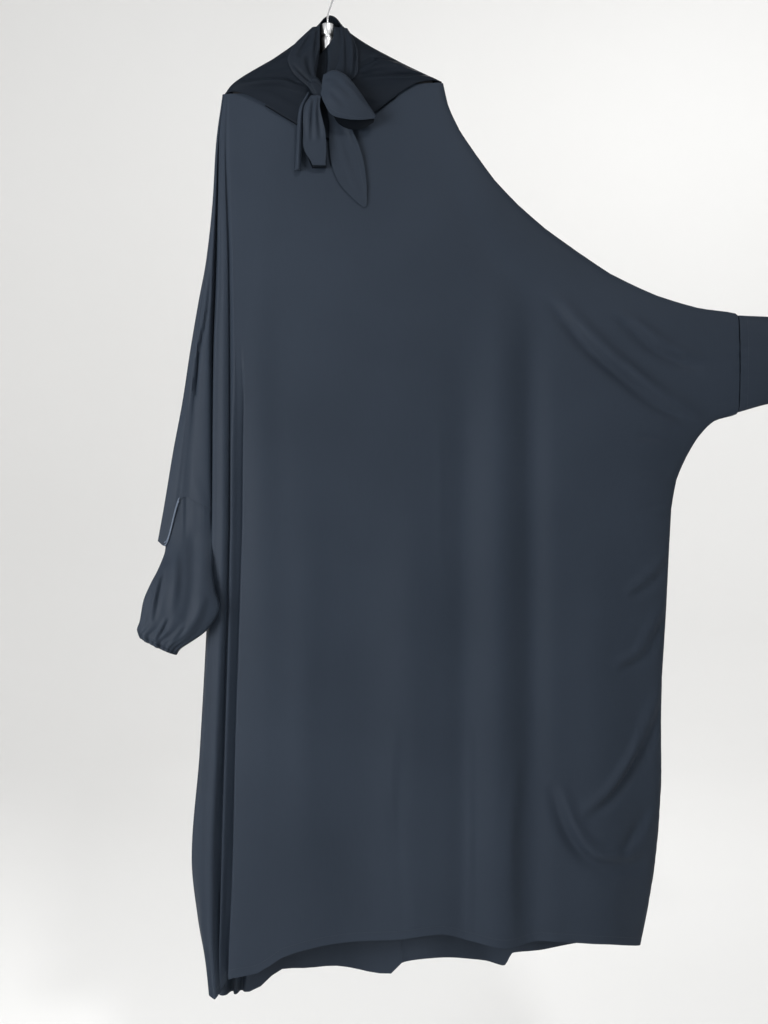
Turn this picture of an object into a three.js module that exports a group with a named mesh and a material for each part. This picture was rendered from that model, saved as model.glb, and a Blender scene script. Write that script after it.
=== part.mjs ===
import * as THREE from 'three';

// A one-piece overhead jilbab of smooth crepe on a hanger, in millimetres with +Z up.
// The origin is the inner top of the hook's bend. +X is the wearer's left and -Y is the front.
// Heights are written as drops, the distance below the origin.

// Driving sizes.
const cloth = 1.5;
const tieCloth = 2;
const seamGap = 0.3;
const seamDepth = (cloth + seamGap) / 2;
const onPanel = cloth + seamGap;
const cuffSeamX = 720;
const hookWire = 3.6;
const hookRadius = 22;
const armThickness = 11;

const materials = {
  crepe: new THREE.MeshStandardMaterial({ color: 0x3a414c, roughness: 0.6, metalness: 0 }),
  tie: new THREE.MeshStandardMaterial({ color: 0x3d4550, roughness: 0.6, metalness: 0 }),
  chrome: new THREE.MeshStandardMaterial({ color: 0xd8dadc, roughness: 0.15, metalness: 1 }),
  plastic: new THREE.MeshStandardMaterial({ color: 0x2a2b2d, roughness: 0.4, metalness: 0 }),
};

const jilbab = new THREE.Group();

// ---------------------------------------------------------------- helpers

const clamp01 = (t) => Math.min(1, Math.max(0, t));
const mix = (a, b, t) => a + (b - a) * t;
const between = (a, b, t) => clamp01((t - a) / (b - a));
const soft = (t) => t * t * (3 - 2 * t);
const roundOff = (t) => Math.sqrt(1 - (1 - clamp01(t)) ** 2);
const bell = (t) => Math.exp(-t * t);

/** Turns rows of numbers into records with named columns. */
function table(columns, rows) {
  return rows.map((row) => Object.fromEntries(columns.map((name, i) => [name, row[i]])));
}

/** Reads one column of a table at a value of its first column, on a smooth curve that never overshoots. */
function read(rows, key, column, at) {
  const last = rows.length - 1;
  if (at <= rows[0][key]) return rows[0][column];
  if (at >= rows[last][key]) return rows[last][column];
  let i = 0;
  while (rows[i + 1][key] < at) i += 1;
  const slope = (j) => (rows[j + 1][column] - rows[j][column]) / (rows[j + 1][key] - rows[j][key]);
  const tangent = (j) => {
    if (j === 0) return slope(0);
    if (j === last) return slope(last - 1);
    const [before, after] = [slope(j - 1), slope(j)];
    return before * after <= 0 ? 0 : (2 * before * after) / (before + after);
  };
  const span = rows[i + 1][key] - rows[i][key];
  const t = (at - rows[i][key]) / span;
  const [a, b] = [rows[i][column], rows[i + 1][column]];
  const [ta, tb] = [tangent(i) * span, tangent(i + 1) * span];
  return a + ta * t + (3 * (b - a) - 2 * ta - tb) * t * t + (2 * (a - b) + ta + tb) * t ** 3;
}

/** A point given by how far right, how far down from the origin and how far back it lies. */
const at = (x, drop, y) => new THREE.Vector3(x, y, -drop);

function add(name, geometry, material) {
  const mesh = new THREE.Mesh(geometry, material);
  mesh.name = name;
  jilbab.add(mesh);
}

/**
 * A wall of cloth. point(column, row) gives its middle surface, each side lies half the thickness
 * out along the normal, and every open edge is closed with a rim. closed joins the last column to
 * the first, and keep(column, row) says which cells there are.
 */
function clothWall({ columns, rows, point, thickness = cloth, closed = false, keep = () => true }) {
  const across = closed ? columns : columns + 1;
  const wrap = (c) => (closed ? (c + columns) % columns : c);
  const inside = (c, r) => {
    if (r < 0 || r >= rows || (!closed && (c < 0 || c >= columns))) return false;
    return keep(wrap(c), r);
  };
  const middle = [];
  for (let r = 0; r <= rows; r += 1) {
    for (let c = 0; c < across; c += 1) middle.push(point(c, r));
  }
  const index = (c, r) => r * across + wrap(c);

  // The normal at a grid point is the sum over the cells that meet there.
  const normals = middle.map(() => new THREE.Vector3());
  for (let r = 0; r < rows; r += 1) {
    for (let c = 0; c < columns; c += 1) {
      if (!inside(c, r)) continue;
      const corners = [index(c, r), index(c + 1, r), index(c + 1, r + 1), index(c, r + 1)];
      const [p, q, s, w] = corners.map((i) => middle[i]);
      const diagonal = new THREE.Vector3().subVectors(s, p);
      const normal = new THREE.Vector3().subVectors(w, q).cross(diagonal).normalize();
      corners.forEach((i) => normals[i].add(normal));
    }
  }
  const side = (sign) => middle.map((p, i) => {
    const n = normals[i].clone().normalize();
    return p.clone().addScaledVector(n, (sign * thickness) / 2);
  });
  const points = [...side(1), ...side(-1)];
  const back = middle.length;
  const faces = [];
  const quad = (a, b, c, d) => {
    if (points[a].distanceTo(points[c]) <= points[b].distanceTo(points[d])) faces.push(a, b, c, a, c, d);
    else faces.push(a, b, d, b, c, d);
  };
  for (let r = 0; r < rows; r += 1) {
    for (let c = 0; c < columns; c += 1) {
      if (!inside(c, r)) continue;
      const [p, q, s, w] = [index(c, r), index(c + 1, r), index(c + 1, r + 1), index(c, r + 1)];
      quad(p, w, s, q);
      quad(p + back, q + back, s + back, w + back);
      if (!inside(c, r - 1)) quad(p, q, q + back, p + back);
      if (!inside(c + 1, r)) quad(q, s, s + back, q + back);
      if (!inside(c, r + 1)) quad(s, w, w + back, s + back);
      if (!inside(c - 1, r)) quad(w, p, p + back, w + back);
    }
  }
  const used = new Map();
  const position = [];
  const order = faces.map((i) => {
    if (!used.has(i)) {
      used.set(i, used.size);
      position.push(...points[i].toArray());
    }
    return used.get(i);
  });
  const geometry = new THREE.BufferGeometry();
  geometry.setAttribute('position', new THREE.Float32BufferAttribute(position, 3));
  geometry.setIndex(order);
  geometry.computeVertexNormals();
  return geometry;
}

// ---------------------------------------------------------------- body

// Each row of a panel runs from the folds at the wearer's right to the edge at the wearer's left:
// down the top of the spread sleeve, along its cuff seam, round the underarm and down the side seam.
const panelRows = table(['fold', 'edge', 'edgeX'], [
  [215, 195, 204], [252, 232, 212.5], [298, 276, 232.5], [344, 320, 262], [390, 364, 294.3],
  [436, 407, 335], [486, 449, 383], [534, 490, 440], [582, 528, 497], [628, 566, 578], [664, 587, 648],
  [695, 601, cuffSeamX], [741, 657, cuffSeamX], [789, 713, cuffSeamX], [835, 769, cuffSeamX],
  [866, 785, 678], [897, 813, 650], [928, 848, 629], [961, 888, 612], [1005, 938, 603],
  [1060, 1000, 599.5], [1135, 1078, 595.7], [1210, 1155, 591.5], [1285, 1233, 586.5],
  [1360, 1312, 585], [1435, 1390, 585.5], [1510, 1468, 582.3], [1585, 1546, 575.5],
  [1660, 1620, 564.5], [1746, 1700, 549],
]);
const cuffTopRow = 11;
const cuffBottomRow = 14;
const sleeveEndRow = 18;

// Where the vertical folds beside the wearer's right sleeve lie.
const foldPlaces = table(['drop', 'gap', 'turn', 'bandB', 'grooveB', 'bandA', 'grooveA', 'ridge'], [
  [215, -177.8, -176.1, -174.3, -172, -168.5, -164.5, -159],
  [300, -188.2, -184.7, -178.7, -172.5, -166.5, -161, -155],
  [404, -191.7, -184.7, -177, -170.5, -163.5, -155.5, -149.5],
  [508, -195.1, -183.5, -174.5, -168.5, -160.5, -151, -145],
  [664, -198.6, -188.2, -173.6, -167.2, -157, -147.5, -141],
  [750, -197, -189.9, -173.5, -166.7, -155, -145.2, -139],
  [961, -195, -190.5, -174, -167, -155.7, -146, -140],
  [1030, -201.5, -192.5, -175.4, -168, -157, -147.8, -142],
  [1131, -208.1, -195.1, -177.8, -169.2, -158.8, -150.1, -144.9],
  [1356, -221.1, -203.8, -186.5, -174.3, -165.7, -157, -151.8],
  [1529, -235, -212.4, -193.4, -179.5, -170.9, -162.2, -155.3],
  [1625, -224.6, -209, -193.4, -181.3, -174.3, -164, -158.8],
  [1703, -209.8, -200.3, -189.9, -179.5, -176.1, -168.3, -162.2],
  [1754, -200.3, -195.1, -186.5, -178.7, -174.3, -168.3, -163.1],
]);

// The hanging upper sleeve: its outer edge, the crease of its top edge and its inner side.
const sleevePlaces = table(['drop', 'edge', 'crease', 'inner'], [
  [215, -181, -179.8, -178.6], [300, -192.3, -190.8, -189.4], [401, -198.4, -196, -193.6],
  [505, -209.8, -204.5, -199], [575, -222.8, -213, -203], [662, -237.6, -224.6, -207],
  [750, -251, -231.5, -208], [836, -267.2, -240, -207], [940, -284.5, -251, -206],
  [1003, -296, -258, -206],
]);
// How far below the underarm each of its edges ends, as a slanted mouth.
const frontMouth = { edge: 34, outer: 42, crease: -43, inner: -14 };
const backMouth = { edge: 34, outer: 44, crease: 22, inner: 8 };

// How far the cloth stands off the middle plane, and how wide its rounded edges are.
const frontDepth = table(['drop', 'depth'], [
  [195, 7.05], [310, 8.6], [450, 13], [700, 21], [1000, 27], [1400, 31], [1700, 34],
]);
const backDepth = table(['drop', 'depth'], [
  [195, 7.05], [330, 9], [450, 12], [700, 17], [1000, 20], [1400, 22], [1790, 25],
]);
const edgeRound = table(['drop', 'width'], [[195, 14], [300, 30], [420, 60], [600, 80]]);

// Soft waves of the hanging cloth: place and half width across, the drops they fill, and their height.
const frontWaves = table(['x', 'half', 'from', 'to', 'height'], [
  [-60, 55, 700, 1760, 4], [60, 45, 900, 1760, -4], [150, 38, 820, 1760, 5], [212, 26, 650, 1760, -4],
  [262, 30, 520, 1760, 5], [372, 38, 520, 1700, -7], [470, 40, 900, 1760, 5], [545, 30, 1100, 1760, -4],
]);
const backWaves = table(['x', 'half', 'from', 'to', 'height'], [
  [-110, 34, 800, 1800, 9], [-40, 40, 700, 1800, -8], [60, 45, 560, 1800, 9], [185, 40, 900, 1800, -8],
  [285, 36, 700, 1800, 10], [372, 34, 640, 1760, -9], [470, 42, 820, 1760, 8], [545, 26, 1000, 1760, -5],
]);

// The hem line of each panel.
const frontHem = table(['x', 'drop'], [
  [-204, 1776], [-196, 1786], [-186, 1780], [-174, 1758], [-163, 1746], [-120, 1737], [-66, 1704.5],
  [13, 1687], [118, 1679], [197, 1670], [246, 1682], [318, 1692], [382, 1683], [473, 1685.5], [549, 1700],
]);
const backHem = table(['x', 'drop'], [
  [-204, 1777], [-190, 1797], [-167, 1793], [-130, 1792], [-97, 1766], [-70, 1750], [0, 1748],
  [94, 1764], [122, 1762], [133, 1742], [200, 1731], [281, 1743], [314, 1750], [330, 1725],
  [411, 1713], [549, 1701],
]);

// How much of the depth each fold keeps: a share of the panel's own depth.
const frontFolds = { turn: 0.62, bandB: 0.74, grooveB: 0.3, bandA: 0.84, grooveA: 0.34, ridge: 1 };
const backFolds = { turn: 0.75, bandB: 0.5, grooveB: 0.95, bandA: 0.45, grooveA: 1.05, ridge: 0.8 };

const rowEdge = panelRows.map((row) => at(row.edgeX, row.edge, 0));
const outerEdges = [rowEdge.slice(0, cuffTopRow + 1), rowEdge.slice(cuffBottomRow)];

/** How far a point lies from the sewn edge at the wearer's left. */
function edgeDistance(x, drop) {
  const here = at(x, drop, 0);
  const nearest = new THREE.Vector3();
  let least = Infinity;
  for (const edge of outerEdges) {
    for (let i = 0; i + 1 < edge.length; i += 1) {
      new THREE.Line3(edge[i], edge[i + 1]).closestPointToPoint(here, true, nearest);
      least = Math.min(least, nearest.distanceTo(here));
    }
  }
  return least;
}

/** How far the smooth part of a panel stands off the middle plane. */
function panelDepth(x, drop, depths, waves) {
  const inWing = soft(between(430, cuffSeamX, x));
  const full = read(depths, 'drop', 'depth', drop) * mix(1, 0.45, inWing) - seamDepth;
  const rounded = roundOff(edgeDistance(x, drop) / read(edgeRound, 'drop', 'width', drop));
  let wave = 0;
  for (const w of waves) {
    const length = soft(between(w.from, w.from + 260, drop)) * soft(between(w.to + 260, w.to, drop));
    wave += w.height * bell((x - w.x) / w.half) * length;
  }
  return seamDepth + (full + wave) * rounded;
}

/**
 * The columns of a panel, from the sleeve's outer edge to the edge at the wearer's left: the
 * hanging sleeve, the folds with two columns at each turn, and the smooth part in even steps.
 */
const turnShare = 0.22;
const seamSteps = 6;
const smoothSteps = 16;
const foldNames = ['turn', 'bandB', 'grooveB', 'bandA', 'grooveA', 'ridge'];
const sleeveNames = ['edge', 'outer', 'crease', 'inner'];
const gapColumn = sleeveNames.length;
const firstSmooth = gapColumn + 2 * foldNames.length;
const seamColumn = firstSmooth + seamSteps;
const panelColumns = firstSmooth + smoothSteps;
// The centre-back seam runs straight down from the neck, off centre at the hem.
const seamLine = { topX: 13, top: 205, hemX: 133, hem: 1742 };

/** The place across and the share of depth for one column in the folds. */
function foldColumn(column, drop, spread, shares) {
  const gap = read(foldPlaces, 'drop', 'gap', drop);
  const place = (i) => {
    if (i < 0) return gap;
    return gap + (read(foldPlaces, 'drop', foldNames[i], drop) - gap) * spread;
  };
  const i = Math.floor((column - gapColumn - 1) / 2);
  const rightOfTurn = (column - gapColumn - 1) % 2 === 1;
  const ridge = i === foldNames.length - 1;
  const neighbour = rightOfTurn ? (ridge ? place(i) + 20 * spread : place(i + 1)) : place(i - 1);
  const x = mix(place(i), neighbour, turnShare);
  const edge = read(sleevePlaces, 'drop', 'edge', drop);
  const plain = roundOff((x - edge) / read(edgeRound, 'drop', 'width', drop));
  const folded = soft(between(230, 760, drop));
  return { x, share: mix(Math.max(plain, 0.2), shares[foldNames[i]], folded) };
}

/** A point of the front or back panel, with sign -1 in front and 1 behind. */
function panelPoint(column, row, { sign, depths, waves, hem, shares, spread, mouth }) {
  const line = panelRows[row];
  const top = panelRows[0].fold;
  const underarm = panelRows[sleeveEndRow].fold;
  const hemBlend = soft(between(1150, 1746, line.fold));
  const level = (x, share) => {
    const drop = mix(line.fold, line.edge, share);
    const last = mix(panelRows.at(-1).fold, panelRows.at(-1).edge, share);
    return drop + (read(hem, 'x', 'drop', x) - last) * hemBlend;
  };
  if (column < gapColumn) {
    const name = sleeveNames[column];
    const share = Math.min(1, (line.fold - top) / (underarm - top));
    const drop = line.fold + mouth[name] * share;
    const edge = read(sleevePlaces, 'drop', 'edge', drop);
    const crease = read(sleevePlaces, 'drop', 'crease', drop);
    const x = { edge, outer: mix(edge, crease, 0.42), crease }[name] ?? read(sleevePlaces, 'drop', 'inner', drop);
    const lifted = { edge: 0, outer: 7, crease: 9.5, inner: 8 }[name] * mix(0.35, 1, between(300, 700, drop));
    return at(x, drop, sign * (seamDepth + lifted));
  }
  if (column === gapColumn) {
    const x = read(foldPlaces, 'drop', 'gap', line.fold);
    const open = soft(between(225, 330, line.fold)) * soft(between(underarm, underarm - 120, line.fold));
    const drop = row <= sleeveEndRow ? line.fold : level(x, 0);
    return at(x, drop, sign * (seamDepth + 3.2 * open));
  }
  if (column <= firstSmooth) {
    const fold = foldColumn(column, line.fold, spread, shares);
    const drop = level(fold.x, 0);
    const depth = seamDepth + (read(depths, 'drop', 'depth', drop) - seamDepth) * fold.share;
    return at(fold.x, drop, sign * depth);
  }
  const start = foldColumn(firstSmooth, line.fold, spread, shares);
  const share = (column - firstSmooth) / smoothSteps;
  const seamX = mix(seamLine.topX, seamLine.hemX, between(seamLine.top, seamLine.hem, line.fold));
  const x = column <= seamColumn
    ? mix(start.x, seamX, (column - firstSmooth) / seamSteps)
    : mix(seamX, line.edgeX, (column - seamColumn) / (smoothSteps - seamSteps));
  const drop = level(x, share);
  const depth = panelDepth(x, drop, depths, waves) * mix(start.share, 1, soft(clamp01(share * 5)));
  return at(x, drop, sign * depth);
}

const front = {
  sign: -1, depths: frontDepth, waves: frontWaves, hem: frontHem, shares: frontFolds, spread: 1, mouth: frontMouth,
};
const back = {
  sign: 1, depths: backDepth, waves: backWaves, hem: backHem, shares: backFolds, spread: 1.5, mouth: backMouth,
};
const inPanel = (column, row) => column >= gapColumn || row < sleeveEndRow;

add('front_panel', clothWall({
  columns: panelColumns,
  rows: panelRows.length - 1,
  point: (c, r) => panelPoint(c, r, front),
  keep: inPanel,
}), materials.crepe);

// The two halves of the back end just short of the centre-back seam.

function backHalf(from, to, nudge) {
  const columns = to - from;
  return clothWall({
    columns,
    rows: panelRows.length - 1,
    point: (c, r) => {
      const column = to - c;
      const p = panelPoint(column, r, back);
      if (column === seamColumn) p.x += nudge * seamGap;
      return p;
    },
    keep: (c, r) => inPanel(to - c - 1, r),
  });
}

add('back_panel_right', backHalf(0, seamColumn, -1), materials.crepe);
add('back_panel_left', backHalf(seamColumn, panelColumns, 1), materials.crepe);

// ---------------------------------------------------------------- lower sleeves

const wristGathers = 9;
const tubeColumns = 28;

/** A soft gathered wave round a wrist, nil away from it. */
function gather(turn, strength) {
  const uneven = 0.6 * Math.sin(turn * Math.PI * 2 * 3 + 1);
  return strength * Math.sin(turn * Math.PI * 2 * wristGathers + uneven);
}

// The spread lower sleeve: its top and bottom edge, half its depth and the gathers, from the seam out.
const spreadSections = table(['x', 'top', 'bottom', 'half', 'gather'], [
  [cuffSeamX + 2 * seamGap, 601, 769, 11.5, 0], [772, 603, 755, 14, 0], [830, 610, 745, 17, 0],
  [890, 621, 736, 20, 0.6], [930, 633, 730, 21, 1.6], [948, 641, 725, 20, 2.6], [956, 643, 723, 19, 3],
  [966, 641, 725, 20, 3], [976, 638, 728, 21, 3.4],
]);
const spreadRows = 11;

function spreadPoint(column, row) {
  const first = spreadSections[0].x;
  const x = mix(first, spreadSections.at(-1).x, (row / spreadRows) ** 0.85);
  const section = (name) => read(spreadSections, 'x', name, x);
  const turn = column / tubeColumns;
  const angle = turn * Math.PI * 2;
  const middle = (section('top') + section('bottom')) / 2;
  const reach = (section('bottom') - section('top')) / 2 + gather(turn, section('gather'));
  const depth = section('half') + gather(turn, section('gather'));
  const squared = Math.sign(Math.sin(angle)) * Math.abs(Math.sin(angle)) ** 0.8;
  return at(x, middle - reach * Math.cos(angle), -depth * squared);
}

add('lower_sleeve_left', clothWall({
  columns: tubeColumns,
  rows: spreadRows,
  point: spreadPoint,
  closed: true,
}), materials.crepe);

// The hanging lower sleeve: the ends of each section in the front view, the depth of its middle,
// half its own depth and its gathers, from the slanted seam down to the wrist.
const hangingSections = table(['level', 'leftX', 'leftDrop', 'rightX', 'rightDrop', 'y', 'half', 'gather'], [
  [0, -279, 1009, -201, 958, -1, 8.5, 0],
  [1, -281, 1018, -199, 985, -6, 11, 0],
  [2, -289, 1044, -194, 1036, -25, 11, 0],
  [3, -301, 1070, -188, 1078, -33, 13, 0],
  [4, -312, 1098, -184, 1108, -35, 15, 0.6],
  [5, -318, 1132, -203, 1146, -35, 16, 1.2],
  [6, -322, 1146, -250, 1180, -34, 17, 2.6],
  [7, -317, 1160, -256, 1189, -34, 19, 3],
]);
const hangingRows = 11;

/** The drop of the hanging sleeve's end at a place across, in front or behind. */
function sleeveEnd(x, panel) {
  const ends = [];
  for (let c = 0; c <= gapColumn; c += 1) {
    const p = panelPoint(c, sleeveEndRow, panel);
    ends.push({ x: p.x, drop: -p.z });
  }
  const i = Math.max(1, ends.findIndex((end) => end.x >= x));
  return mix(ends[i - 1].drop, ends[i].drop, between(ends[i - 1].x, ends[i].x, x));
}
const slantGap = 3 * seamGap;

function hangingPoint(column, row) {
  const turn = column / tubeColumns;
  const angle = turn * Math.PI * 2;
  const level = (row / hangingRows) * (hangingSections.length - 1);
  const section = (name) => read(hangingSections, 'level', name, level);
  const share = (1 + Math.cos(angle)) / 2;
  const x = mix(section('leftX'), section('rightX'), share);
  const straight = mix(section('leftDrop'), section('rightDrop'), share);
  const panel = Math.sin(angle) > 0 ? front : back;
  const slope = (sleeveEnd(x + 1, panel) - sleeveEnd(x - 1, panel)) / 2;
  const seam = sleeveEnd(x, panel) + slantGap * Math.hypot(1, slope);
  const drop = mix(straight, straight + seam - mix(1009, 958, share), clamp01(1 - level / 1.6) ** 1.5);
  const squared = Math.sign(Math.sin(angle)) * Math.abs(Math.sin(angle)) ** 0.8;
  const depth = (section('half') + gather(turn, section('gather'))) * squared;
  return at(x, drop, section('y') - depth);
}

add('lower_sleeve_right', clothWall({
  columns: tubeColumns,
  rows: hangingRows,
  point: hangingPoint,
  closed: true,
}), materials.crepe);

// ---------------------------------------------------------------- hood

// The hood from the chin round the wearer's right, the back and the wearer's left to the chin again.
// Each station runs from the rim of the face opening over the crest to the lower edge.
const hoodColumnsPerStation = 2;
const hoodStations = table(
  ['rimX', 'rimDrop', 'rimY', 'crestX', 'crestDrop', 'crestY', 'edgeX', 'edgeDrop', 'edgeY'],
  [
    [-15.7, 222, -15, -0.4, 258, -16, 15.3, 297, -15],
    [-16.5, 205, -15.5, -42, 232, -16, -25, 282, -14.5],
    [-17.3, 188, -16, -62, 208, -15.5, -65, 259, -14],
    [-14, 165, -16, -85, 193, -15, -105, 235, -13.5],
    [-10.5, 141, -15, -112, 183, -13.5, -142, 217, -13],
    [-10.4, 127, -13.5, -140, 187, -11, -165, 212.4, -9.6],
    [-10.4, 116, -12, -160, 195, -5, -178.6, 213.4, -1.5],
    [-10.4, 108, -10, -135, 181, 2, -163, 212, 10],
    [-10.4, 98, -8, -98, 160, 6, -135, 240, 14],
    [-9, 90, -5, -52, 130, 9, -85, 288, 17],
    [-3, 79, 1, -20, 106, 12, -35, 312, 19],
    [6.3, 71.4, 8, 6.3, 102, 16, 13, 318, 20],
    [16, 78, 2, 31, 106, 12, 62, 311, 19],
    [24, 91, -4, 66, 132, 9, 112, 284, 17],
    [27, 103, -8, 116, 157, 6, 160, 232, 14],
    [27, 114, -10, 160, 174, 2, 187, 193.4, 10],
    [26.5, 124, -12, 183, 185, -5, 202, 193.2, -1.5],
    [26, 136, -13.5, 165, 181, -11, 188, 192.6, -9.6],
    [23, 152, -14.5, 135, 177, -13.5, 160, 197.5, -13],
    [17, 172, -15.5, 105, 188, -15, 122, 219, -13.5],
    [8, 190, -16, 78, 205, -15.5, 88, 245, -14],
    [-4, 207, -15.5, 48, 228, -16, 50, 272, -14.5],
    [-15.3, 222, -15, 0.4, 258, -16, 15.7, 297, -15],
  ],
);
const hoodRows = 6;
const returnRows = 4;
const hoodColumns = (hoodStations.length - 1) * hoodColumnsPerStation;
const frontFlap = 3 * hoodColumnsPerStation;
const backFlap = { from: 9 * hoodColumnsPerStation, to: 13 * hoodColumnsPerStation };

const hoodCurve = (part) => new THREE.CatmullRomCurve3(
  hoodStations.map((s) => at(s[`${part}X`], s[`${part}Drop`], s[`${part}Y`])),
);
const hoodLines = { rim: hoodCurve('rim'), crest: hoodCurve('crest'), edge: hoodCurve('edge') };

/** The drop of the body's top edge, where the hood is sewn on. */
function bodyTop(x) {
  const first = panelRows[0];
  return mix(first.fold, first.edge, between(-181, first.edgeX, x));
}

function hoodPoint(column, row) {
  const share = column / hoodColumns;
  const rim = hoodLines.rim.getPoint(share);
  const crest = hoodLines.crest.getPoint(share);
  const edge = hoodLines.edge.getPoint(share);
  if (row <= hoodRows) return new THREE.CatmullRomCurve3([rim, crest, edge]).getPoint(row / hoodRows);
  const { sign, depths, waves } = edge.y < 0 ? front : back;
  const panel = (drop) => sign * (panelDepth(edge.x, drop, depths, waves) + onPanel);
  const drop = -edge.z;
  const step = row - hoodRows;
  if (step === 1) return at(edge.x, drop + 1.8, mix(edge.y, panel(drop), 0.35));
  if (step === 2) return at(edge.x, drop + 0.4, panel(drop));
  return at(edge.x, mix(drop, bodyTop(edge.x), (step - 2) / (returnRows - 2)), panel(drop));
}

function inHood(column, row) {
  if (row < hoodRows) return true;
  const fromEnd = Math.min(column, hoodColumns - 1 - column);
  return fromEnd < frontFlap || (column >= backFlap.from && column < backFlap.to);
}

add('hood', clothWall({
  columns: hoodColumns,
  rows: hoodRows + returnRows,
  point: hoodPoint,
  keep: inHood,
}), materials.crepe);

// ---------------------------------------------------------------- ties

/** A ribbon between two edge lines, each given by its points, bulging by bulge towards -Y. */
function ribbon({ stations, rows, columns, bulge = 0, thickness = tieCloth }) {
  const line = (part) => new THREE.CatmullRomCurve3(
    stations.map((s) => at(s[`${part}X`], s[`${part}Drop`], s[`${part}Y`])),
  );
  const [left, right] = [line('left'), line('right')];
  return clothWall({
    columns,
    rows,
    thickness,
    point: (c, r) => {
      const p = left.getPoint(r / rows).lerp(right.getPoint(r / rows), c / columns);
      p.y -= bulge * Math.sin((Math.PI * c) / columns) * Math.sin((Math.PI * r) / rows);
      return p;
    },
  });
}
const ribbonColumns = ['leftX', 'leftDrop', 'leftY', 'rightX', 'rightDrop', 'rightY'];

const bandRight = table(ribbonColumns, [
  [-29.5, 103, -14.2, -12.5, 101, -14.4], [-40, 117, -16.4, -14, 118, -16.6], [-56, 136, -17.6, -14.5, 138, -17.8],
  [-66, 159, -18, -17, 160, -18.2], [-56, 183, -18.3, -20, 179, -18.3], [-35, 203, -18.4, -16, 192, -18.4],
  [-23, 216, -18.6, -10, 208, -18.6],
]);
add('hood_band_right', ribbon({ stations: bandRight, rows: 14, columns: 4, bulge: 5 }), materials.tie);

const bandLeft = table(ribbonColumns, [
  [26, 101, -12.6, 37, 103, -12], [28, 118, -15.4, 46, 120, -14.6], [28, 140, -17.2, 55, 141, -16.4],
  [24, 162, -18, 56, 164, -17.6], [14, 184, -18.3, 54, 186, -18.2], [0, 202, -18.4, 24, 207, -18.6],
]);
add('hood_band_left', ribbon({ stations: bandLeft, rows: 14, columns: 4, bulge: 5 }), materials.tie);

const knot = { x: -16, drop: 213.5, y: -29, halfWidth: 11.5, halfHeight: 13.5, halfDepth: 8.5 };
const knotShape = new THREE.SphereGeometry(1, 16, 12);
knotShape.scale(knot.halfWidth, knot.halfDepth, knot.halfHeight);
knotShape.translate(knot.x, knot.y, -knot.drop);
add('bow_knot', knotShape, materials.tie);

// The large loop is a bag of ribbon: its front sheet turns over at the upper edge into its back
// sheet, and its lower side is open. Each station has the lower front edge, the turn and the
// lower back edge.
const loopLeft = table(
  ['frontX', 'frontDrop', 'frontY', 'turnX', 'turnDrop', 'turnY', 'backX', 'backDrop', 'backY'],
  [
    [-5, 222, -32, -3, 199, -30, -4.6, 220, -26.5],
    [8, 243, -41, 21, 190, -33, 11, 236, -23],
    [23, 262, -45, 45, 207, -35, 27, 251, -22.8],
    [39, 270, -46, 62, 229, -36, 42, 259, -22.8],
    [62, 271, -44, 77, 248, -35, 63, 262, -23],
    [84, 268, -38, 87, 263, -33.5, 84, 266, -28],
  ],
);
const loopAcross = 8;
const loopAlong = 12;
const loopLine = (part) => new THREE.CatmullRomCurve3(
  loopLeft.map((s) => at(s[`${part}X`], s[`${part}Drop`], s[`${part}Y`])),
);
const loopLines = [loopLine('front'), loopLine('turn'), loopLine('back')];
add('bow_loop_left', clothWall({
  columns: loopAcross,
  rows: loopAlong,
  thickness: tieCloth,
  point: (c, r) => {
    const across = new THREE.CatmullRomCurve3(loopLines.map((line) => line.getPoint(r / loopAlong)));
    const p = across.getPoint(c / loopAcross);
    const plump = Math.sin((Math.PI * r) / loopAlong) * Math.sin((Math.PI * 2 * c) / loopAcross);
    p.y -= 4 * plump;
    return p;
  },
}), materials.tie);

// The hanging loop goes down in front, turns at the bottom and comes up behind.
const loopRight = table(ribbonColumns, [
  [-25, 227.2, -31, -8, 227.4, -31], [-36, 248, -37, -9, 250, -38], [-38, 290, -37, 0, 290, -38],
  [-37, 318, -36, 1, 322, -36], [-22, 341, -31, 0, 342, -31], [-22, 338, -24, 0, 339, -24],
  [-36, 312, -21, 0, 315, -21], [-36, 270, -21, -3, 272, -21], [-31, 246, -22, -9, 248, -22],
  [-24, 228, -26.5, -11, 228, -26.5],
]);
add('bow_loop_right', ribbon({ stations: loopRight, rows: 24, columns: 4, bulge: 0 }), materials.tie);

const tailLeft = table(ribbonColumns, [
  [0, 238, -19, 16, 236, -19], [6, 262, -18.6, 40, 258, -19], [7, 284, -18.3, 46, 282, -18.8],
  [7, 309, -17.5, 54, 300, -17.5], [11, 340, -15.5, 63, 326, -16], [23, 370, -14.5, 68, 352, -15],
  [43, 394, -14.5, 71, 380, -15], [66.5, 415, -15, 71, 413, -15],
]);
add('tie_tail_left', ribbon({ stations: tailLeft, rows: 18, columns: 4, bulge: -1 }), materials.tie);

// The narrow tail is a ribbon folded lengthwise and seen along its fold.
const tailRight = table(['x', 'drop', 'front', 'half'], [
  [-29, 221, -30, 2], [-40, 246, -34, 3.6], [-43, 262, -34, 4], [-45.5, 300, -33, 4.2], [-48, 352, -31, 4.4],
]);
const tailSteps = 12;
const tailBack = -20.5;
add('tie_tail_right', clothWall({
  columns: 4,
  rows: tailSteps,
  thickness: tieCloth,
  point: (c, r) => {
    const drop = mix(tailRight[0].drop, tailRight.at(-1).drop, r / tailSteps);
    const value = (name) => read(tailRight, 'drop', name, drop);
    const side = [-1, -0.8, 0, 0.8, 1][c];
    const depth = [1, 0.35, 0, 0.35, 1][c];
    return at(value('x') + side * value('half'), drop, mix(tailBack, value('front'), depth));
  },
}), materials.tie);

// ---------------------------------------------------------------- hanger

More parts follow.
